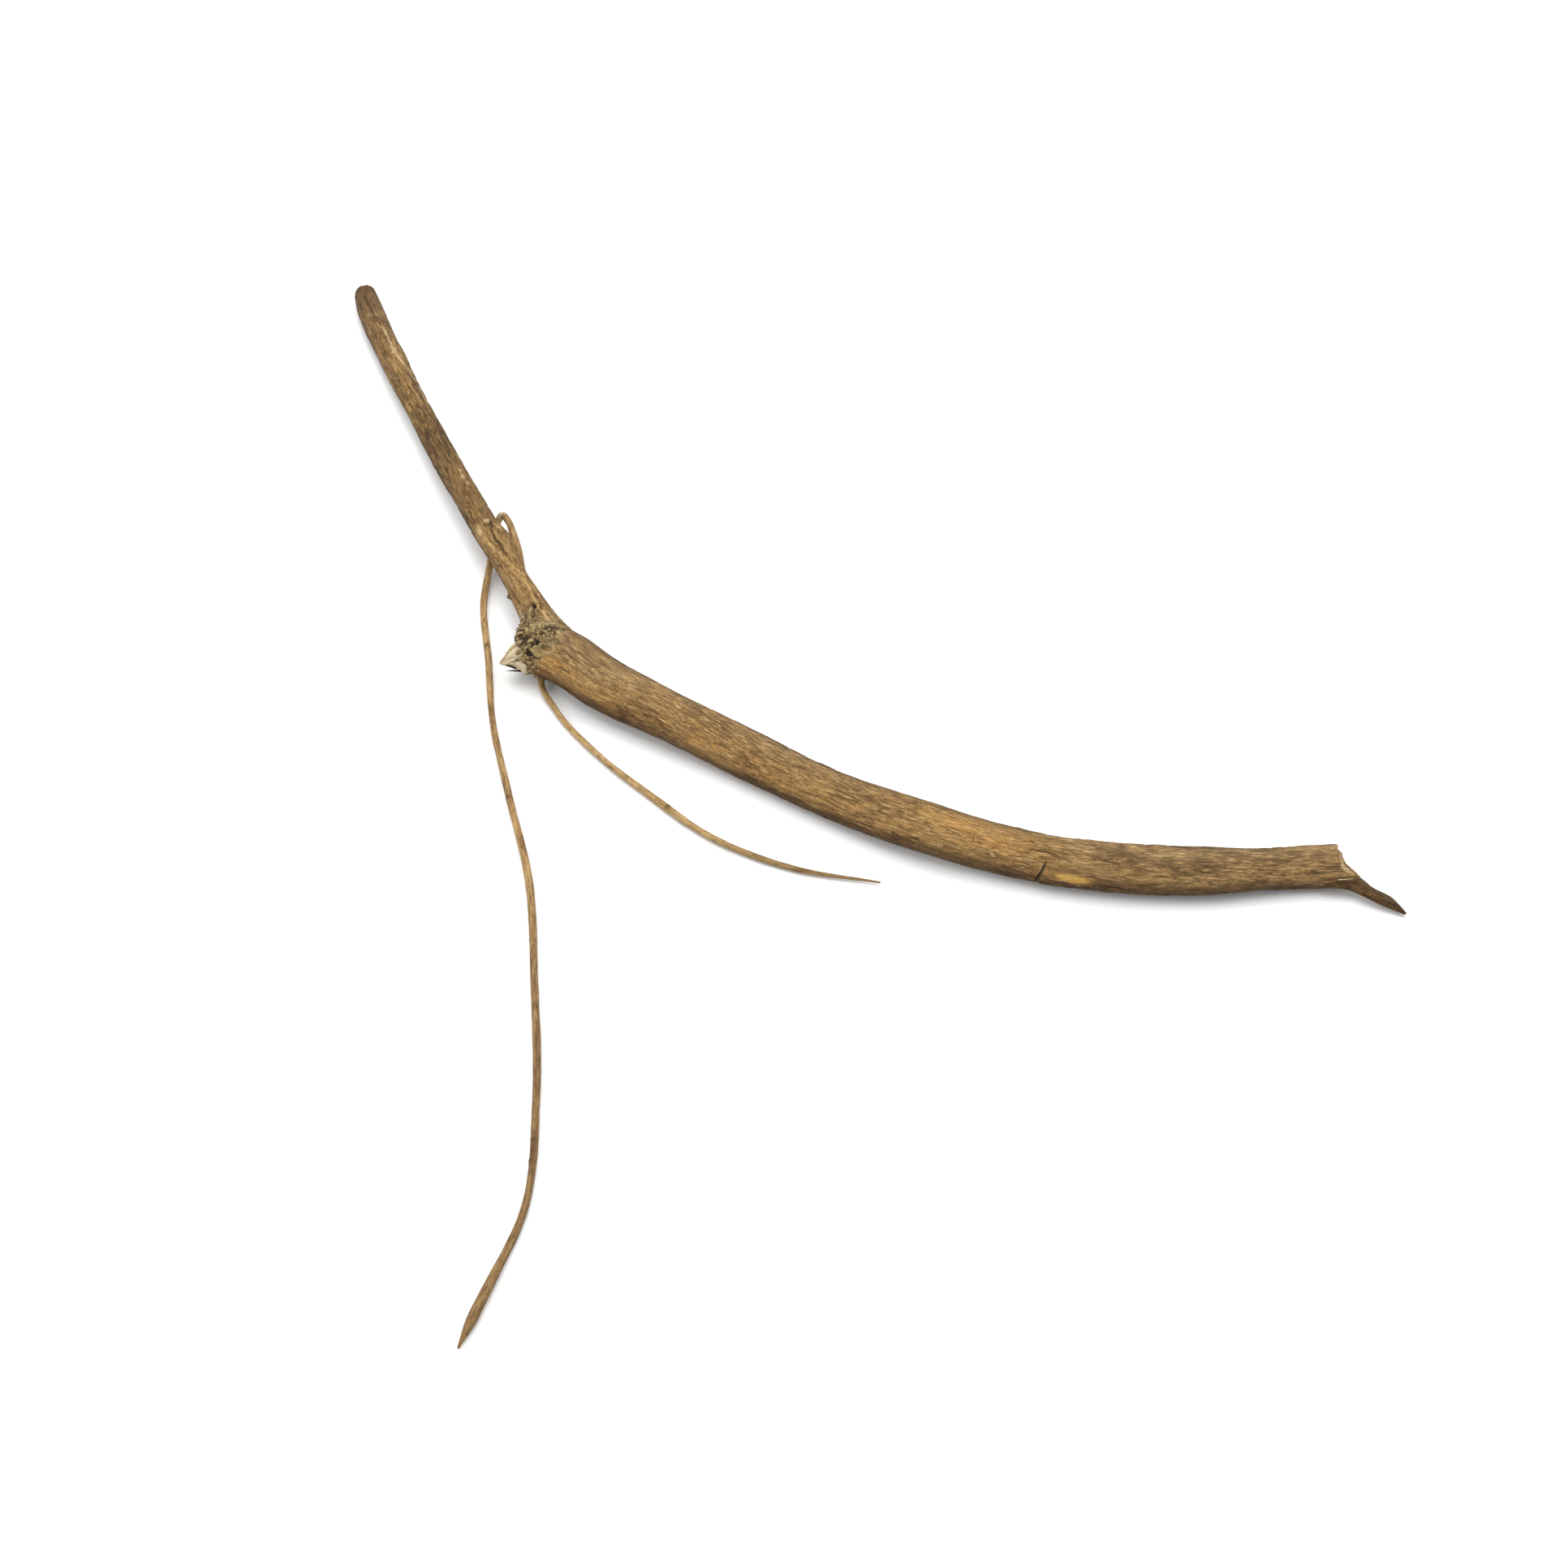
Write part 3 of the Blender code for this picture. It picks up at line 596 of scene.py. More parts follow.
class Recipe:
    """A material's nodes, written as calls that each give the output of a new node."""

    def __init__(self, name):
        self.material = bpy.data.materials.new(name)
        self.material.use_nodes = True
        self.tree = self.material.node_tree
        self.shader = self.tree.nodes["Principled BSDF"]

    def node(self, kind):
        """A new node of this kind."""
        return self.tree.nodes.new("ShaderNode" + kind)

    def feed(self, socket, value):
        """Link an output to a socket, or set the socket's own value."""
        if isinstance(value, bpy.types.NodeSocket):
            self.tree.links.new(value, socket)
        else:
            socket.default_value = value

    def mark(self, name, vector=False):
        """A number or a vector that the mesh holds at each point."""
        node = self.node("Attribute")
        node.attribute_name = name
        return node.outputs["Vector" if vector else "Fac"]

    def place(self):
        """The place in space, in metres, which runs on from piece to piece."""
        return self.node("TexCoord").outputs["Object"]

    def noise(self, place, across, along, detail, roughness, distortion=0.0):
        """Layered noise from 0 to 1, of this size across and along in the unit of the places."""
        drawn_out = self.node("VectorMath")
        drawn_out.operation = "MULTIPLY"
        self.feed(drawn_out.inputs[0], place)
        drawn_out.inputs[1].default_value = (1 / across, 1 / across, 1 / along)
        node = self.node("TexNoise")
        self.feed(node.inputs["Vector"], drawn_out.outputs[0])
        levels = {"Scale": 1.0, "Detail": detail, "Roughness": roughness, "Distortion": distortion}
        for name, level in levels.items():
            node.inputs[name].default_value = level
        return node.outputs["Fac"]

    def rise(self, value, low, high, bottom=0.0, top=1.0):
        """Bottom below low, top above high, and a smooth rise between."""
        node = self.node("MapRange")
        node.interpolation_type = "SMOOTHSTEP"
        self.feed(node.inputs["Value"], value)
        for name, level in (("From Min", low), ("From Max", high), ("To Min", bottom), ("To Max", top)):
            node.inputs[name].default_value = level
        return node.outputs["Result"]

    def work_out(self, operation, a, b=0.0, clamp=True):
        """A sum on two numbers, with its result kept from 0 to 1 unless clamp is off."""
        node = self.node("Math")
        node.operation = operation
        node.use_clamp = clamp
        self.feed(node.inputs[0], a)
        self.feed(node.inputs[1], b)
        return node.outputs[0]

    def times(self, a, b):
        """One number times another, kept from 0 to 1."""
        return self.work_out("MULTIPLY", a, b)

    def line(self, noise, thin, wide):
        """Wandering lines where a noise is near its middle: 1 within thin of it, and 0 past wide."""
        from_middle = self.work_out("ABSOLUTE", self.work_out("SUBTRACT", noise, 0.5, clamp=False))
        return self.rise(from_middle, thin, wide, 1.0, 0.0)

    def mix(self, share, a, b, blend="MIX"):
        """Colour a with a share of colour b over it."""
        node = self.node("Mix")
        node.data_type = "RGBA"
        node.blend_type = blend
        self.feed(node.inputs[0], share)
        self.feed(node.inputs[6], a)
        self.feed(node.inputs[7], b)
        return node.outputs[2]

    def over(self, base, *layers):
        """Layers of colour over a base, from first to last, each given as (share, colour)."""
        for share, colour in layers:
            base = self.mix(share, base, colour)
        return base

    def finish(self, colour, rough, height, depth):
        """Feed the shader: colour, roughness, and a bump of this depth in millimetres."""
        bump = self.node("Bump")
        bump.inputs["Strength"].default_value = 0.8
        bump.inputs["Distance"].default_value = depth * MM
        self.feed(bump.inputs["Height"], height)
        self.feed(self.shader.inputs["Normal"], bump.outputs["Normal"])
        self.feed(self.shader.inputs["Base Color"], colour)
        self.feed(self.shader.inputs["Roughness"], rough)
        self.shader.inputs["Specular IOR Level"].default_value = 0.25
        return self.material


def tone(red, green, blue):
    """The colour that shows as this screen colour, 0 to 255, on a top side in the studio's light.

    It is the screen's curve undone, ((c / 255 + 0.055) / 1.055)^2.4, over the studio's light.
    """
    return tuple(((c / 255 + 0.055) / 1.055) ** 2.4 / STUDIO_LIGHT for c in (red, green, blue)) + (1.0,)


def crumb_finish(made, deep):
    """The crust's colour, straw crumbs over brown areas, darker in the deep places and gaps as painted
    shade, and its finest crumbs.
    """
    straw, shaded, drab = tone(190, 166, 110), tone(96, 71, 38), tone(138, 114, 68)
    russet, pale, dark, gap = tone(124, 92, 54), tone(222, 206, 160), tone(62, 45, 24), tone(50, 36, 20)
    place = made.place()
    scale = made.noise(place, 1.0 * MM, 1.0 * MM, 4.0, 0.6, 0.9)
    speck = made.noise(place, 0.42 * MM, 0.42 * MM, 2.0, 0.6, 0.7)
    area = made.noise(place, 2.6 * MM, 2.6 * MM, 2.0, 0.5, 0.5)
    crumb = made.over(
        made.mix(made.rise(deep, 0.16, 0.6), straw, shaded),
        (made.rise(scale, 0.4, 0.62, 0.0, 0.65), drab),
        (made.rise(area, 0.42, 0.6, 0.5, 0.0), russet),
        (made.rise(speck, 0.55, 0.66, 0.0, 0.85), pale),
        (made.rise(speck, 0.34, 0.45, 0.65, 0.0), dark),
        (made.rise(deep, 0.48, 0.88), gap),
    )
    return crumb, speck


def bark_finish(name):
    """Dry fibrous bark: streaks, flecks and wrinkles along the grain, over broad worn and dusty areas, with
    painted shade.
    """
    dark, low, middle = tone(58, 37, 17), tone(140, 104, 56), tone(176, 138, 82)
    light, worn, russet = tone(228, 194, 134), tone(202, 148, 76), tone(158, 110, 62)
    dull, dusty, near_black = tone(138, 108, 68), tone(168, 136, 92), tone(38, 24, 12)
    honey, yellow = tone(206, 154, 72), tone(238, 192, 106)
    timber, pale_timber = tone(188, 154, 100), tone(236, 214, 168)
    made = Recipe(name)
    grain = made.mark("grain", vector=True)
    # Each noise has its millimetres across and along, its detail, roughness and distortion.
    streak = made.noise(grain, 0.55, 6.0, 4.0, 0.62, 0.3)
    fleck = made.noise(grain, 0.25, 2.1, 3.0, 0.65, 0.25)
    hair = made.noise(grain, 0.11, 1.3, 2.0, 0.6)
    broad = made.noise(grain, 4.5, 15.0, 3.0, 0.55, 0.6)
    blotch = made.noise(grain, 2.6, 8.0, 2.0, 0.5, 0.5)
    strand = made.noise(grain, 0.2, 3.4, 2.0, 0.5, 0.7)
    wide_lines = made.line(made.noise(grain, 0.7, 4.6, 3.0, 0.55, 0.9), 0.01, 0.04)
    fine_lines = made.line(made.noise(grain, 0.36, 2.5, 2.0, 0.5, 0.9), 0.012, 0.05)
    deep, crust, dusk = made.mark("deep"), made.mark("crust"), made.mark("dusk")
    calm = made.rise(dusk, 0.5, 1.0, 1.0, 0.5)
    lines = made.work_out("MAXIMUM", made.times(wide_lines, 0.95), made.times(fine_lines, 0.85))
    lines = made.times(lines, made.times(calm, made.rise(blotch, 0.38, 0.62, 0.5, 0.8)))
    rubbed = made.work_out("ADD", made.rise(broad, 0.5, 0.7, 0.0, 0.6), made.mark("worn"))
    # Pale flecks kept off the hollows and dark flecks gathered in them: partly real flecks, partly painted
    # highlight and shade of the relief.
    lit = made.times(made.rise(fleck, 0.53, 0.65, 0.0, 0.85), made.rise(deep, 0.3, 0.8, 1.0, 0.2))
    shade = made.times(made.rise(fleck, 0.34, 0.46, 0.45, 0.0), made.rise(deep, 0.2, 0.7, 0.35, 1.0))
    crumb, speck = crumb_finish(made, deep)
    base = made.over(
        made.mix(made.rise(streak, 0.36, 0.64), low, middle),
        (made.rise(blotch, 0.52, 0.7, 0.0, 0.4), russet),
        (rubbed, made.mix(made.rise(streak, 0.32, 0.66), middle, worn)),
        (dusk, made.mix(made.rise(streak, 0.3, 0.66), dull, dusty)),
        (lit, light),
        (lines, dark),
        (made.times(shade, calm), dark),
        (made.rise(strand, 0.57, 0.64, 0.0, 0.4), light),
        (made.mark("tan"), made.mix(made.rise(fleck, 0.4, 0.6), honey, yellow)),
        (crust, crumb),
        (made.mark("bare"), made.mix(made.rise(hair, 0.35, 0.65), timber, pale_timber)),
        # Painted shade: the deepest places of the relief darken.
        (made.rise(deep, 0.6, 1.0, 0.0, 0.45), dark),
    )
    # Soil stain, and the painted shade on the undersides.
    base = made.mix(made.mark("soil_and_shade"), base, SOIL_AND_SHADE_TINT, "MULTIPLY")
    base = made.mix(made.mark("dark_colour_and_shade"), base, near_black)
    rough = made.rise(fleck, 0.3, 0.7, 0.74, 0.92)
    height = made.work_out("SUBTRACT", made.times(fleck, 0.55), made.times(lines, 0.45), clamp=False)
    height = made.work_out("ADD", height, made.times(hair, 0.25), clamp=False)
    height = made.work_out("ADD", height, made.times(crust, made.times(speck, 0.7)), clamp=False)
    return made.finish(base, rough, height, depth=0.16)


def rootlet_finish(name, dark, middle, light):
    """A smoother skin on the rootlets, tan with darker kinks and fine pale streaks."""
    cracked, knee = tone(240, 226, 190), tone(60, 42, 24)
    made = Recipe(name)
    grain = made.mark("grain", vector=True)
    streak = made.noise(grain, 0.4, 5.0, 4.0, 0.6, 0.2)
    fleck = made.noise(grain, 0.2, 1.3, 3.0, 0.6, 0.4)
    broad = made.noise(grain, 3.0, 9.0, 3.0, 0.6, 0.5)
    base = made.over(
        made.mix(made.rise(streak, 0.35, 0.62), middle, light),
        (made.rise(broad, 0.52, 0.68, 0.0, 0.7), dark),
        (made.rise(fleck, 0.38, 0.48, 0.75, 0.0), dark),
        # Painted shade in the deep places of the wrinkles.
        (made.rise(made.mark("deep"), 0.5, 1.0, 0.0, 0.6), dark),
    )
    base = made.mix(made.mark("soil_and_shade"), base, SOIL_AND_SHADE_TINT, "MULTIPLY")
    base = made.over(base, (made.mark("bare"), cracked), (made.mark("dark_colour_and_shade"), knee))
    rough = made.rise(streak, 0.3, 0.7, 0.62, 0.82)
    return made.finish(base, rough, fleck, depth=0.06)


def torn_wood_finish(name):
    """Pale dry wood that was torn along its fibres, with painted shade in the gaps, and scorched dark in
    places.
    """
    timber, pale, brown = tone(204, 180, 134), tone(242, 228, 194), tone(168, 132, 84)
    gap, near_black = tone(120, 90, 52), tone(40, 26, 14)
    made = Recipe(name)
    grain = made.mark("grain", vector=True)
    fibre = made.noise(grain, 0.12, 2.2, 4.0, 0.65, 0.3)
    broad = made.noise(grain, 1.2, 3.0, 2.0, 0.5, 0.4)
    base = made.over(
        made.mix(made.rise(fibre, 0.36, 0.64), timber, pale),
        (made.rise(broad, 0.5, 0.75, 0.0, 0.5), brown),
        (made.rise(made.mark("deep"), 0.45, 1.0, 0.0, 0.75), gap),
        (made.mark("dark_colour_and_shade"), near_black),
    )
    rough = made.rise(fibre, 0.3, 0.7, 0.7, 0.9)
    return made.finish(base, rough, fibre, depth=0.1)


def knot_scars(limb):
    """The ring scar and the pits and brow round it.

    Gives the scar's ring, the brow, how far the bark rises or sinks here, and how dark the pits are, as
    painted shade in the sunk places.
    """
    ring = np.maximum(limb.stroke(*RING_SCAR), 0.9 * limb.patch(*SCAR_LIP))
    inner, hollow = limb.patch(*SCAR_MIDDLE), limb.patch(*KNOT_HOLLOW)
    below, lid, brow = limb.stroke(*BELOW_SCAR), limb.stroke(*SCAR_LID), limb.stroke(*SCAR_BROW)
    rise = 0.34 * ring - 0.4 * inner - 0.35 * below - 0.8 * hollow - 0.42 * lid + 0.35 * brow
    return ring, brow, rise, 0.85 * lid + 0.75 * below + 0.8 * hollow + 0.5 * inner


def body_crack(limb):
    """The crack across the near side, and how far the bark sinks in it and stands higher past it."""
    crack = limb.stroke(*CRACK_LINE) * smooth_rise(36, 60, np.degrees(limb.round_from(0)))
    past = limb.along - CRACK_AT
    near = np.clip(np.sin(limb.angle), 0.0, 1.0)
    step = near * smooth_rise(-0.4, 0.4, past) * np.exp(-np.clip(past, 0, None) / 14.0)
    return crack, 0.28 * step - 0.4 * crack


def eye_scar(limb):
    """The eye scar's ring, and how far the ring rises and its middle sinks."""
    eye = limb.patch(*EYE_SCAR)
    ring = band(0.25, 0.55, 0.6, 0.9, eye)
    return ring, 0.12 * ring - 0.25 * smooth_rise(0.8, 1.0, eye)


def right_tear(limb):
    """The slanted tear at the right end: how far its fibres reach, and the rim that lost its bark."""
    degrees = np.degrees(limb.round_from(0))
    from_end = limb.length - limb.along
    slant = 0.5 + 3.3 * smooth_rise(-5, 75, degrees) ** 1.3 * (1 - smooth_rise(120, 165, degrees))
    lift = torn_lift(limb, which=1, seed=411, jag=0.7, hollow=1.3)
    peeled = (0.25 + 1.2 * band(0, 42, 52, 60, degrees)) * (1 + 0.8 * limb.fibres(0.7, 0.7, 148))
    rim = (1 - smooth_rise(0.75, 1.15, from_end / peeled)) * (limb.share == 1)
    return lift + slant * bell(from_end, 2.2) * limb.share**2, rim


def body_skin():
    """The thick bowed body, from its stub in the knot to its torn right end.

    Its reach is the route's radius, the bulges and the bark's relief, or the crust's by the knot, with a
    part of a millimetre more or less for each mark, and it swells where it nears the arm.
    """
    close = [(0.0, 13.0, 0.2), (115.4, 118.2, 0.13), (-3.0, 0.0, 0.17)]
    limb = Limb(BODY_ROUTE, sides=184, step=0.46, close=close, caps=14, twist=GRAIN_TWIST)
    base = limb.radius + bulges(limb, seed=3, amount=0.05)
    plain = limb.skin(base)
    height, deep = bark_relief(limb, seed=101, coarse=0.17, fine=0.15)
    rough, rough_deep = crust_relief(plain, CRUST_SEED)
    edge = 3.2 + 7.2 * bell(limb.round_from(5), 1.05) + 1.1 * limb.fibres(2.2, 2.2, 131)
    crust = 1 - smooth_rise(-1.3, 1.3, limb.along - edge)
    ring, brow, scars, pits = knot_scars(limb)
    crack, crack_step = body_crack(limb)
    eye_ring, eye_rise = eye_scar(limb)
    tear, rim = right_tear(limb)
    strand = limb.stroke(*BODY_STRAND)
    orange, tan = limb.patches(ORANGE_PATCH), limb.patches(YELLOW_SPOT)
    crackle = limb.net(0.85, 2.6, 150, 0.12) * smooth_rise(111, 122, limb.along) * (1 - tan)
    flare = smooth_rise(140, 166, limb.along) * bell(limb.round_from(-35), 0.9)
    reach = base + height * (1 - 0.7 * crust) + rough * crust + scars + crack_step + eye_rise
    reach = reach + 0.12 * strand - 0.09 * crackle - 0.22 * rim + 0.45 * flare
    reach = reach - 0.5 * limb.patch(*STUB_FLAT)
    reach = reach + melt(plain, [ARM_ROUTE], KNOT_MELT) + 0.5 * melt(plain, [STRIP_ROUTE], 1.2)
    upper_left = smooth_rise(-0.3, 0.5, limb.share * np.cos(limb.round_from(-35)))
    lift = torn_lift(limb, which=-1, seed=401, jag=0.8, hollow=0.6) + tear
    lift = lift + 1.1 * upper_left * bell(limb.along, 1.5)
    dusk = 0.8 * bell(limb.round_from(-28), 0.75) * (1 - 0.75 * limb.patch(*BODY_UNDUSTED))
    dusk = dusk + 0.45 * smooth_rise(118, 124, limb.along) + 0.8 * limb.patch(*KNOT_DUST)
    # Painted shade on the underside and the low part of the near side, with the brown stains of
    # BODY_BROWNED added: this goes to the earth mark.
    from_under = np.abs(np.degrees(limb.round_from(200))) + 22 * limb.fibres(2.5, 12.0, 149)
    under_shade_and_soil = (1 - smooth_rise(95, 140, from_under)) * (1 - 0.8 * tan) + limb.patches(BODY_BROWNED)
    sunk = deep * (1 - crust) + rough_deep * crust - 0.7 * ring + 0.4 * crackle
    # Painted shade: the crack and the knot's sunk pits darken through the scorch mark.
    marks = {
        "deep": sunk * (1 - 0.6 * rim) * (1 - 0.5 * tan) * limb.share,
        "worn": limb.patches(BODY_WORN) + orange,
        "dusk": dusk * (1 - tan) * (1 - orange),
        "tan": 1.4 * tan + 0.15 * orange * (1 - 0.6 * crust),
        "crust": np.maximum(crust, ring),
        "bare": (1 - limb.share) * 3.0 + 0.85 * strand + 0.15 * ring + 0.4 * brow + 0.9 * rim,
        "dark_colour_and_shade": 1.1 * crack + pits + 0.3 * eye_ring + 0.06 * orange,
        "soil_and_shade": under_shade_and_soil * limb.share,
    }
    return limb.skin(reach, lift), limb.grain, marks


def arm_skin():
    """The slim arm, from its rounded tip to where it flares into the knot.

    Its reach is made up as the body's is. At the tip the radius is multiplied by
    sqrt(1 - TIP_NARROWING * left^2), where left falls from 1 at the tip to 0.
    """
    limb = Limb(ARM_ROUTE, sides=132, step=0.36, close=[(-16.0, 0.0, 0.2)], caps=12, twist=-GRAIN_TWIST)
    left = np.clip(TIP_LENGTH - limb.along, 0, None) / TIP_LENGTH
    base = limb.radius * np.sqrt(1 - TIP_NARROWING * left**2) + bulges(limb, seed=11, amount=0.05)
    plain = limb.skin(base)
    height, deep = bark_relief(limb, seed=151, coarse=0.12, fine=0.15)
    rough, rough_deep = crust_relief(plain, CRUST_SEED)
    edge = 123.5 + 7.0 * smooth_rise(-25, 15, -np.degrees(limb.round_from(0)))
    crust = smooth_rise(-1.6, 1.6, limb.along - edge + 1.6 * limb.fibres(1.8, 2.5, 171))
    peel = limb.strokes(PEELED_LINES)
    outer = smooth_rise(0, 14, -np.degrees(limb.round_from(-26))) * band(22, 28, 32, 34, limb.along)
    outer = outer * (np.abs(limb.round_from(-80)) < 0.9)
    nub = smooth_rise(0.36, 0.46, limb.patch(*ARM_NUB))
    left_nub, pit = limb.patch(*LEFT_NUB), limb.patch(*ARM_PIT)
    groove, strand = limb.stroke(*ARM_GROOVE), limb.stroke(*ARM_STRAND)
    nub_shadow, fork_groove = limb.stroke(*NUB_SHADOW), limb.stroke(*FORK_GROOVE)
    pale, chips = limb.patches(PALE_BY_FORK), limb.patches(ARM_CHIPS)
    channel, streaks = limb.strokes(KNOT_CHANNELS), limb.strokes(ARM_STREAKS)
    fissures = limb.net(0.8, 5.0, 187, 0.11) * band(36, 42, 63, 74, limb.along)
    reach = base + height * (1 - 0.7 * crust) + rough * crust - 0.13 * fissures - 0.1 * peel + 0.22 * outer
    reach = reach - 0.32 * groove + 0.36 * nub - 0.45 * nub_shadow - 0.42 * fork_groove + 0.75 * left_nub
    reach = reach + 0.12 * pale - 0.9 * pit - 0.4 * channel + 0.12 * streaks + 0.2 * strand + 0.1 * chips
    reach = reach + melt(plain, [BODY_ROUTE], KNOT_MELT)
    reach = reach + melt(plain, [FORK_RIDGE_ROUTE, LONG_ROOTLET_ROUTE[:4]], ROOTLET_MELT)
    inside = (limb.end == -1) * np.sqrt(np.clip(1 - limb.share**2, 0.0, 1.0))
    lift = limb.dome(TIP_DOME) + 0.1 * inside * limb.fibres(0.8, 0.8, 177)
    worn = limb.patches(ARM_WORN)
    dusk = 0.3 + 0.5 * bell(limb.along - 2.0, 16.0) + 0.25 * bell(limb.round_from(-60), 0.8)
    # Painted shade on the underside, and darker stretches along the arm and at its tip: both go to the
    # earth mark.
    from_under = np.abs(np.degrees(limb.round_from(180))) + 18 * limb.fibres(2.0, 10.0, 185)
    darker_stretch = 0.7 * bell(limb.along, 16.0) + 0.16 * (1 - smooth_rise(50, 75, limb.along))
    darker_stretch = darker_stretch + 0.55 * band(46, 64, 94, 99, limb.along) + 0.25 * bell(limb.along - 108.0, 5.0)
    under_shade_and_soil = 0.9 - 0.9 * smooth_rise(66, 112, from_under) + darker_stretch
    # Painted shade in the sunk grooves, channels, fissures and pit, and the painted shadow below the nub;
    # the left nub is dark bark.
    dark_lines = 0.75 * groove + nub_shadow + 0.8 * fork_groove + 0.8 * channel + 0.22 * fissures
    marks = {
        "deep": deep * (1 - crust) + rough_deep * crust + 0.5 * fissures,
        "worn": worn,
        "dusk": dusk * (1 - 0.6 * worn),
        "crust": crust,
        "tan": 0.3 * pale + 0.6 * streaks,
        "bare": peel + 0.45 * streaks + nub + 0.6 * pale + 0.7 * strand + chips,
        "dark_colour_and_shade": dark_lines + 0.7 * left_nub + 0.85 * pit,
        "soil_and_shade": under_shade_and_soil * (1 - 0.8 * np.clip(chips, 0.0, 1.0)),
    }
    return limb.skin(reach, lift), limb.grain, marks


def ridge_skin():
    """The swollen ridge that the long rootlet grows out of, melted to the arm."""
    limb = Limb(FORK_RIDGE_ROUTE, sides=40, step=0.25, caps=5)
    height, deep = bark_relief(limb, seed=181, coarse=0.08, fine=0.1)
    base = limb.radius + bulges(limb, seed=31, amount=0.12)
    reach = base + height + melt(limb.skin(base), [ARM_ROUTE], ROOTLET_MELT)
    return limb.skin(reach, limb.dome(0.8)), limb.grain, {"deep": deep, "dusk": 0.3, "soil_and_shade": 0.2}


def rootlet_skin(route, knees, cracks, seed, sides):
    """A rootlet with dark knees, and pale places where it cracked.

    Its reach is radius * (1 + 0.1 * noise), with the bulges, shallow wrinkles, knees and cracks added.
    """
    limb = Limb(route, sides, step=0.42, caps=3)
    base = limb.radius * (1 + 0.1 * limb.fibres(1.5, 5.0, seed)) + bulges(limb, seed, amount=0.08)
    wrinkle = limb.fibres(0.4, 3.0, seed + 1)
    knee = sum(limb.patch(at, degrees, 0.5, 0.7) for at, degrees in knees)
    opened = sum(limb.patch(at, degrees, 0.8, 0.9) for at, degrees in cracks)
    reach = base + 0.05 * wrinkle + melt(limb.skin(base), [ARM_ROUTE, BODY_ROUTE], ROOTLET_MELT)
    darker_stretch = 0.8 * bell(limb.along, 6.0) + 0.55 * smooth_rise(0.5, 0.8, limb.along / limb.length)
    marks = {
        "deep": np.clip(0.5 - 0.6 * wrinkle, 0, 1),
        "dark_colour_and_shade": 0.8 * knee,
        "bare": 2.2 * opened,
        "soil_and_shade": darker_stretch + 0.3 * np.maximum(limb.fibres(2.0, 9.0, seed + 2), 0.0),
    }
    return limb.skin(reach + 0.12 * knee + 0.2 * opened, limb.dome(0.12)), limb.grain, marks


def strip_skin():
    """The strip of outer wood past the torn end: bark outside, and a hollowed torn side above.

    Its reach is radius, bulges and relief, less 0.3 of the radius on the torn side.
    """
    limb = Limb(STRIP_ROUTE, sides=64, step=0.14, caps=4, flatness=STRIP_FLATNESS)
    height, deep = bark_relief(limb, seed=191, coarse=0.12, fine=0.12)
    base = limb.radius + bulges(limb, seed=33, amount=0.1)
    torn = bell(limb.round_from(-45), 0.7) * smooth_rise(4.0, 6.5, limb.along)
    rim = limb.stroke(*STRIP_RIM)
    reach = base + height - 0.3 * limb.radius * torn + 0.1 * rim
    # The strip takes the painted shade of the body's underside with its soil stain, nearly full through the
    # earth mark, and a little through the scorch mark.
    marks = {"deep": deep, "dusk": 0.2, "bare": 0.7 * rim + 0.12 * torn, "soil_and_shade": 0.95, "dark_colour_and_shade": 0.18}
    return limb.skin(reach), limb.grain, marks


def stub_skin():
    """The stub's torn wood, drawn out to a point: radius * (1 + 0.18 * noise), less thin splits."""
    limb = Limb(STUB_WOOD_ROUTE, sides=72, step=0.12, caps=4)
    base = limb.radius * (1 + 0.18 * limb.fibres(1.3, 7.0, 195))
    split = bell(limb.fibres(0.7, 9.0, 196, 1), 0.08)
    reach = base - 0.22 * split * smooth_rise(0.5, 2.0, limb.radius)
    charred = 0.85 * smooth_rise(6.2, 7.4, limb.along + 1.2 * limb.fibres(0.8, 3.0, 197))
    return limb.skin(reach), limb.grain, {"deep": split, "dark_colour_and_shade": charred}


def spine(start, finish, bow, size, sides=7, rings=14, taper=0.15):
    """A thin splinter or fibre between two points, bowed sideways by bow at its middle.

    Its middle is start + t (finish - start) + bow * 4 t (1 - t), and its radius falls from size to
    taper * size.
    """
    start, finish, bow = (np.array(p, float) for p in (start, finish, bow))
    t = np.linspace(0.0, 1.0, rings)[:, None]
    middle = start + t * (finish - start) + bow * 4 * t * (1 - t)
    ahead, upper, side = route_frames(middle, (0.31, 0.17, 0.94))
    radius = size * (1 - (1 - taper) * t**1.4)
    angle = np.arange(sides) * 2 * math.pi / sides
    out = np.cos(angle)[None, :, None] * upper[:, None, :] + np.sin(angle)[None, :, None] * side[:, None, :]
    grain = np.broadcast_arrays(np.cos(angle) * size, np.sin(angle) * size, t * np.ptp(middle))
    return middle[:, None, :] + radius[:, :, None] * out, np.stack(grain, axis=-1) + start


def splinter_skins():
    """Torn fibres at the stub and at the right end, most of them short."""
    rng = np.random.default_rng(SPLINTER_SEED)
    for route, part, count, longest in TORN_ENDS:
        run, curve = smooth_route(route)
        ahead, upper, side = route_frames(curve[:, :3])
        for _ in range(count):
            k = int(len(run) * part * rng.uniform(0.75, 1.0)) if part < 1 else len(run) - 1
            angle = rng.uniform(0, 2 * math.pi)
            spoke = outward(upper[k], side[k], angle)
            foot = curve[k, :3] + curve[k, 3] * rng.uniform(0.4, 0.78) * spoke
            reach = 0.4 + longest * rng.uniform() ** 1.5
            tip = foot + reach * (ahead[k] + rng.uniform(-0.12, 0.3) * spoke)
            points, grain = spine(foot - 1.5 * ahead[k], tip, 0.1 * spoke, rng.uniform(0.12, 0.3))
            yield points, grain, {"dark_colour_and_shade": 0.9 if rng.uniform() < 0.15 else 0.0}


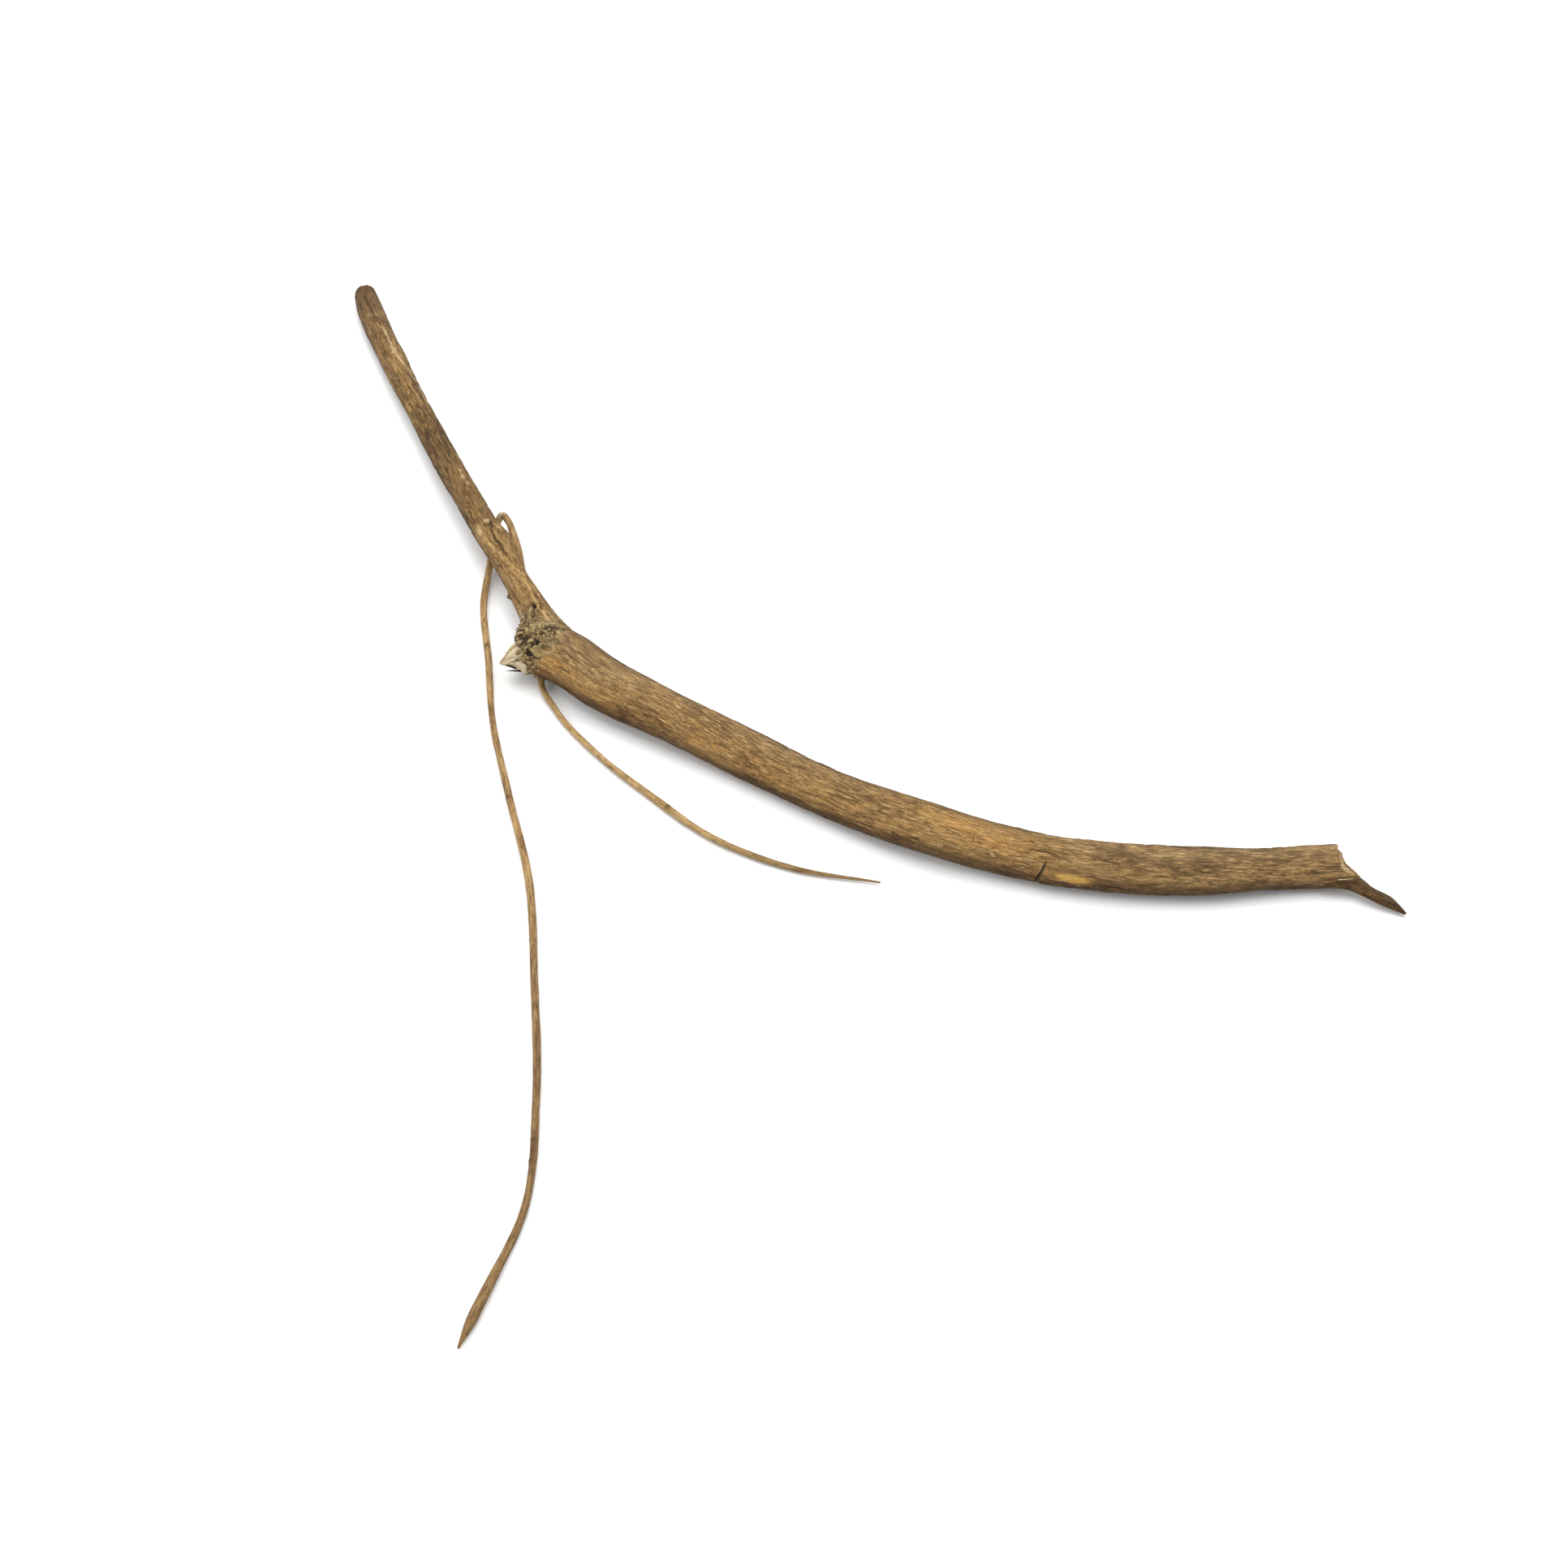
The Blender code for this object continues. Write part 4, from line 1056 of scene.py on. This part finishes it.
def placed_splinters():
    """The splinters that show: two black ones and a pale one at the stub, and one at the torn end."""
    upright, pale_bow, end_bow = (0, 0, 0.1), (0, 0, 0.15), (0, -0.3, 0.34)
    table = [
        ((-60.3, 7.5, 5.6), (-63.4, 8.8, 5.8), upright, 0.2, 1.0),
        ((-59.4, 7.5, 4.9), (-62.5, 7.8, 4.6), upright, 0.2, 1.0),
        ((-59.8, 7.7, 5.5), (-62.8, 8.4, 5.3), pale_bow, 0.2, 0.0),
        ((96.2, -45.3, 4.95), (100.9, -43.95, 3.72), end_bow, 0.09, 0.0),
    ]
    for start, finish, bow, size, dark_colour_and_shade in table:
        points, grain = spine(start, finish, bow, size)
        yield points, grain, {"dark_colour_and_shade": dark_colour_and_shade}


def flake_skins(count):
    """Loose flakes of bark strewn over the knot, each sunk by its root and lifted at its tip."""
    rng = np.random.default_rng(FLAKE_SEED)
    run, curve = smooth_route(BODY_ROUTE)
    arm_run, arm_curve = smooth_route(ARM_ROUTE)
    for _ in range(count):
        on_arm = rng.uniform() < 0.45
        distances, line = (arm_run, arm_curve) if on_arm else (run, curve)
        spot = rng.uniform(arm_run[-1] - 8, arm_run[-1] - 1) if on_arm else rng.uniform(0.5, 8.0)
        k = int(np.searchsorted(distances, spot))
        ahead, upper, side = (v[k] for v in route_frames(line[:, :3]))
        angle = rng.uniform(-math.pi, math.pi)
        spoke = outward(upper, side, angle)
        across = np.cross(spoke, ahead)
        grain = ahead * rng.choice([-1.0, 1.0]) + rng.uniform(-0.8, 0.8) * across
        foot = line[k, :3] + (line[k, 3] - 0.12) * spoke
        size = rng.uniform(0.25, 0.8)
        lift = rng.uniform(0.0, 0.35)
        route = [
            (*(foot - size * grain - 0.35 * spoke), 0.45 * size),
            (*(foot + 0.05 * spoke), 0.6 * size),
            (*(foot + 0.8 * size * grain + lift * spoke), 0.45 * size),
            (*(foot + 1.2 * size * grain + 1.3 * lift * spoke), 0.12 * size),
        ]
        limb = Limb(route, sides=12, step=0.2, caps=2, flatness=0.3, top=tuple(spoke))
        reach = limb.radius * (1 + 0.35 * limb.fibres(0.4, 0.4, int(rng.integers(1000))))
        marks = {"deep": rng.uniform(0.1, 0.6), "crust": 1.0, "bare": rng.uniform(0.0, 0.3)}
        yield limb.skin(reach), limb.grain + foot, marks


def fibre_skins(route, seed, count, low, high):
    """Loose fibres of bark that lie along a limb and lift a little between their ends."""
    rng = np.random.default_rng(seed)
    run, curve = smooth_route(route)
    ahead, upper, side = route_frames(curve[:, :3])
    for _ in range(count):
        spot = rng.uniform(low, high)
        length = rng.uniform(1.5, 4.5)
        first, last = (int(np.searchsorted(run, s)) for s in (spot, min(spot + length, high + 4)))
        angle = rng.uniform(-2.2, 2.2)
        turn = angle + rng.uniform(-0.12, 0.12)
        ends = [
            curve[k, :3] + (curve[k, 3] - 0.12) * outward(upper[k], side[k], a)
            for k, a in ((first, angle), (last, turn))
        ]
        spoke = outward(upper[first], side[first], angle)
        bow = rng.uniform(0.0, 0.14) * spoke + rng.uniform(-0.25, 0.25) * np.cross(spoke, ahead[first])
        start, finish = ends[0] - 0.08 * spoke, ends[1] - 0.06 * spoke
        size = rng.uniform(0.04, 0.08)
        points, grain = spine(start, finish, bow, size, sides=6, rings=12, taper=0.6)
        yield points, grain, {"bare": rng.uniform(0.0, 0.4)}


def floor():
    """A plain pale floor under the root."""
    mesh = bpy.data.meshes.new("floor")
    half, low = 20.0, -0.02 * MM
    corners = [(-half, -half, low), (half, -half, low), (half, half, low), (-half, half, low)]
    mesh.from_pydata(corners, [], [(0, 1, 2, 3)])
    piece = bpy.data.objects.new("floor", mesh)
    bpy.context.scene.collection.objects.link(piece)
    made = Recipe("pale_floor")
    made.shader.inputs["Base Color"].default_value = (0.82, 0.82, 0.815, 1.0)
    made.shader.inputs["Roughness"].default_value = 0.9
    mesh.materials.append(made.material)


def softbox(name, place, size, power):
    """A square soft light that faces the middle of the floor, with its place and size in metres."""
    data = bpy.data.lights.new(name, "AREA")
    data.size, data.energy = size, power
    lamp = bpy.data.objects.new(name, data)
    lamp.location = place
    lamp.rotation_euler = (-Vector(place)).to_track_quat("-Z", "Y").to_euler()
    bpy.context.scene.collection.objects.link(lamp)


def studio():
    """Soft white light from all round, a large light overhead and a weaker one from the left."""
    world = bpy.data.worlds.new("white_studio")
    world.use_nodes = True
    sky = world.node_tree.nodes["Background"]
    sky.inputs["Color"].default_value = (1.0, 1.0, 1.0, 1.0)
    sky.inputs["Strength"].default_value = 0.7
    scene = bpy.context.scene
    scene.world = world
    scene.view_settings.view_transform = "Standard"
    softbox("overhead", place=(0.05, 0.12, 1.1), size=1.1, power=15.0)
    softbox("left", place=(-0.8, -0.3, 0.7), size=0.5, power=3.0)


def camera():
    """The camera at the photograph's viewing angle."""
    data = bpy.data.cameras.new("camera")
    data.lens, data.sensor_width = LENS, SENSOR_WIDTH
    data.clip_start = 0.01
    view = bpy.data.objects.new("camera", data)
    rise = math.radians(CAMERA_RISE)
    ahead = Vector((0.0, math.cos(rise), -math.sin(rise)))
    view.location = Vector(CAMERA_AIM) - ahead * CAMERA_AWAY
    view.rotation_euler = ahead.to_track_quat("-Z", "Y").to_euler()
    bpy.context.scene.collection.objects.link(view)
    bpy.context.scene.camera = view


def main():
    """The camera, the light and the floor, and then every piece of the root."""
    camera()
    studio()
    floor()
    bark = bark_finish("root_bark")
    tan = tone(106, 77, 44), tone(160, 123, 73), tone(200, 165, 113)
    pale_tan = tone(130, 98, 56), tone(176, 140, 86), tone(208, 176, 122)
    rootlet = rootlet_finish("rootlet_skin", *tan)
    thin_rootlet = rootlet_finish("thin_rootlet_skin", *pale_tan)
    wood = torn_wood_finish("torn_wood")
    long_rootlet = rootlet_skin(
        LONG_ROOTLET_ROUTE, LONG_ROOTLET_KNEES, LONG_ROOTLET_CRACKS, seed=21, sides=22
    )
    short_rootlet = rootlet_skin(SHORT_ROOTLET_ROUTE, SHORT_ROOTLET_KNEES, [], seed=22, sides=18)
    make_piece("body_bark", [body_skin()], bark)
    make_piece("arm_bark", [arm_skin()], bark)
    make_piece("fork_ridge", [ridge_skin()], bark)
    make_piece("long_rootlet", [long_rootlet], rootlet)
    make_piece("short_rootlet", [short_rootlet], thin_rootlet)
    make_piece("torn_strip", [strip_skin()], bark)
    make_piece("stub_wood", [stub_skin()], wood)
    make_piece("splinters", [*splinter_skins(), *placed_splinters()], wood)
    make_piece("knot_flakes", list(flake_skins(count=110)), bark)
    body_fibres = fibre_skins(BODY_ROUTE, BODY_FIBRE_SEED, count=34, low=10, high=160)
    arm_fibres = fibre_skins(ARM_ROUTE, ARM_FIBRE_SEED, count=20, low=6, high=118)
    make_piece("loose_fibres", [*body_fibres, *arm_fibres], bark)


main()
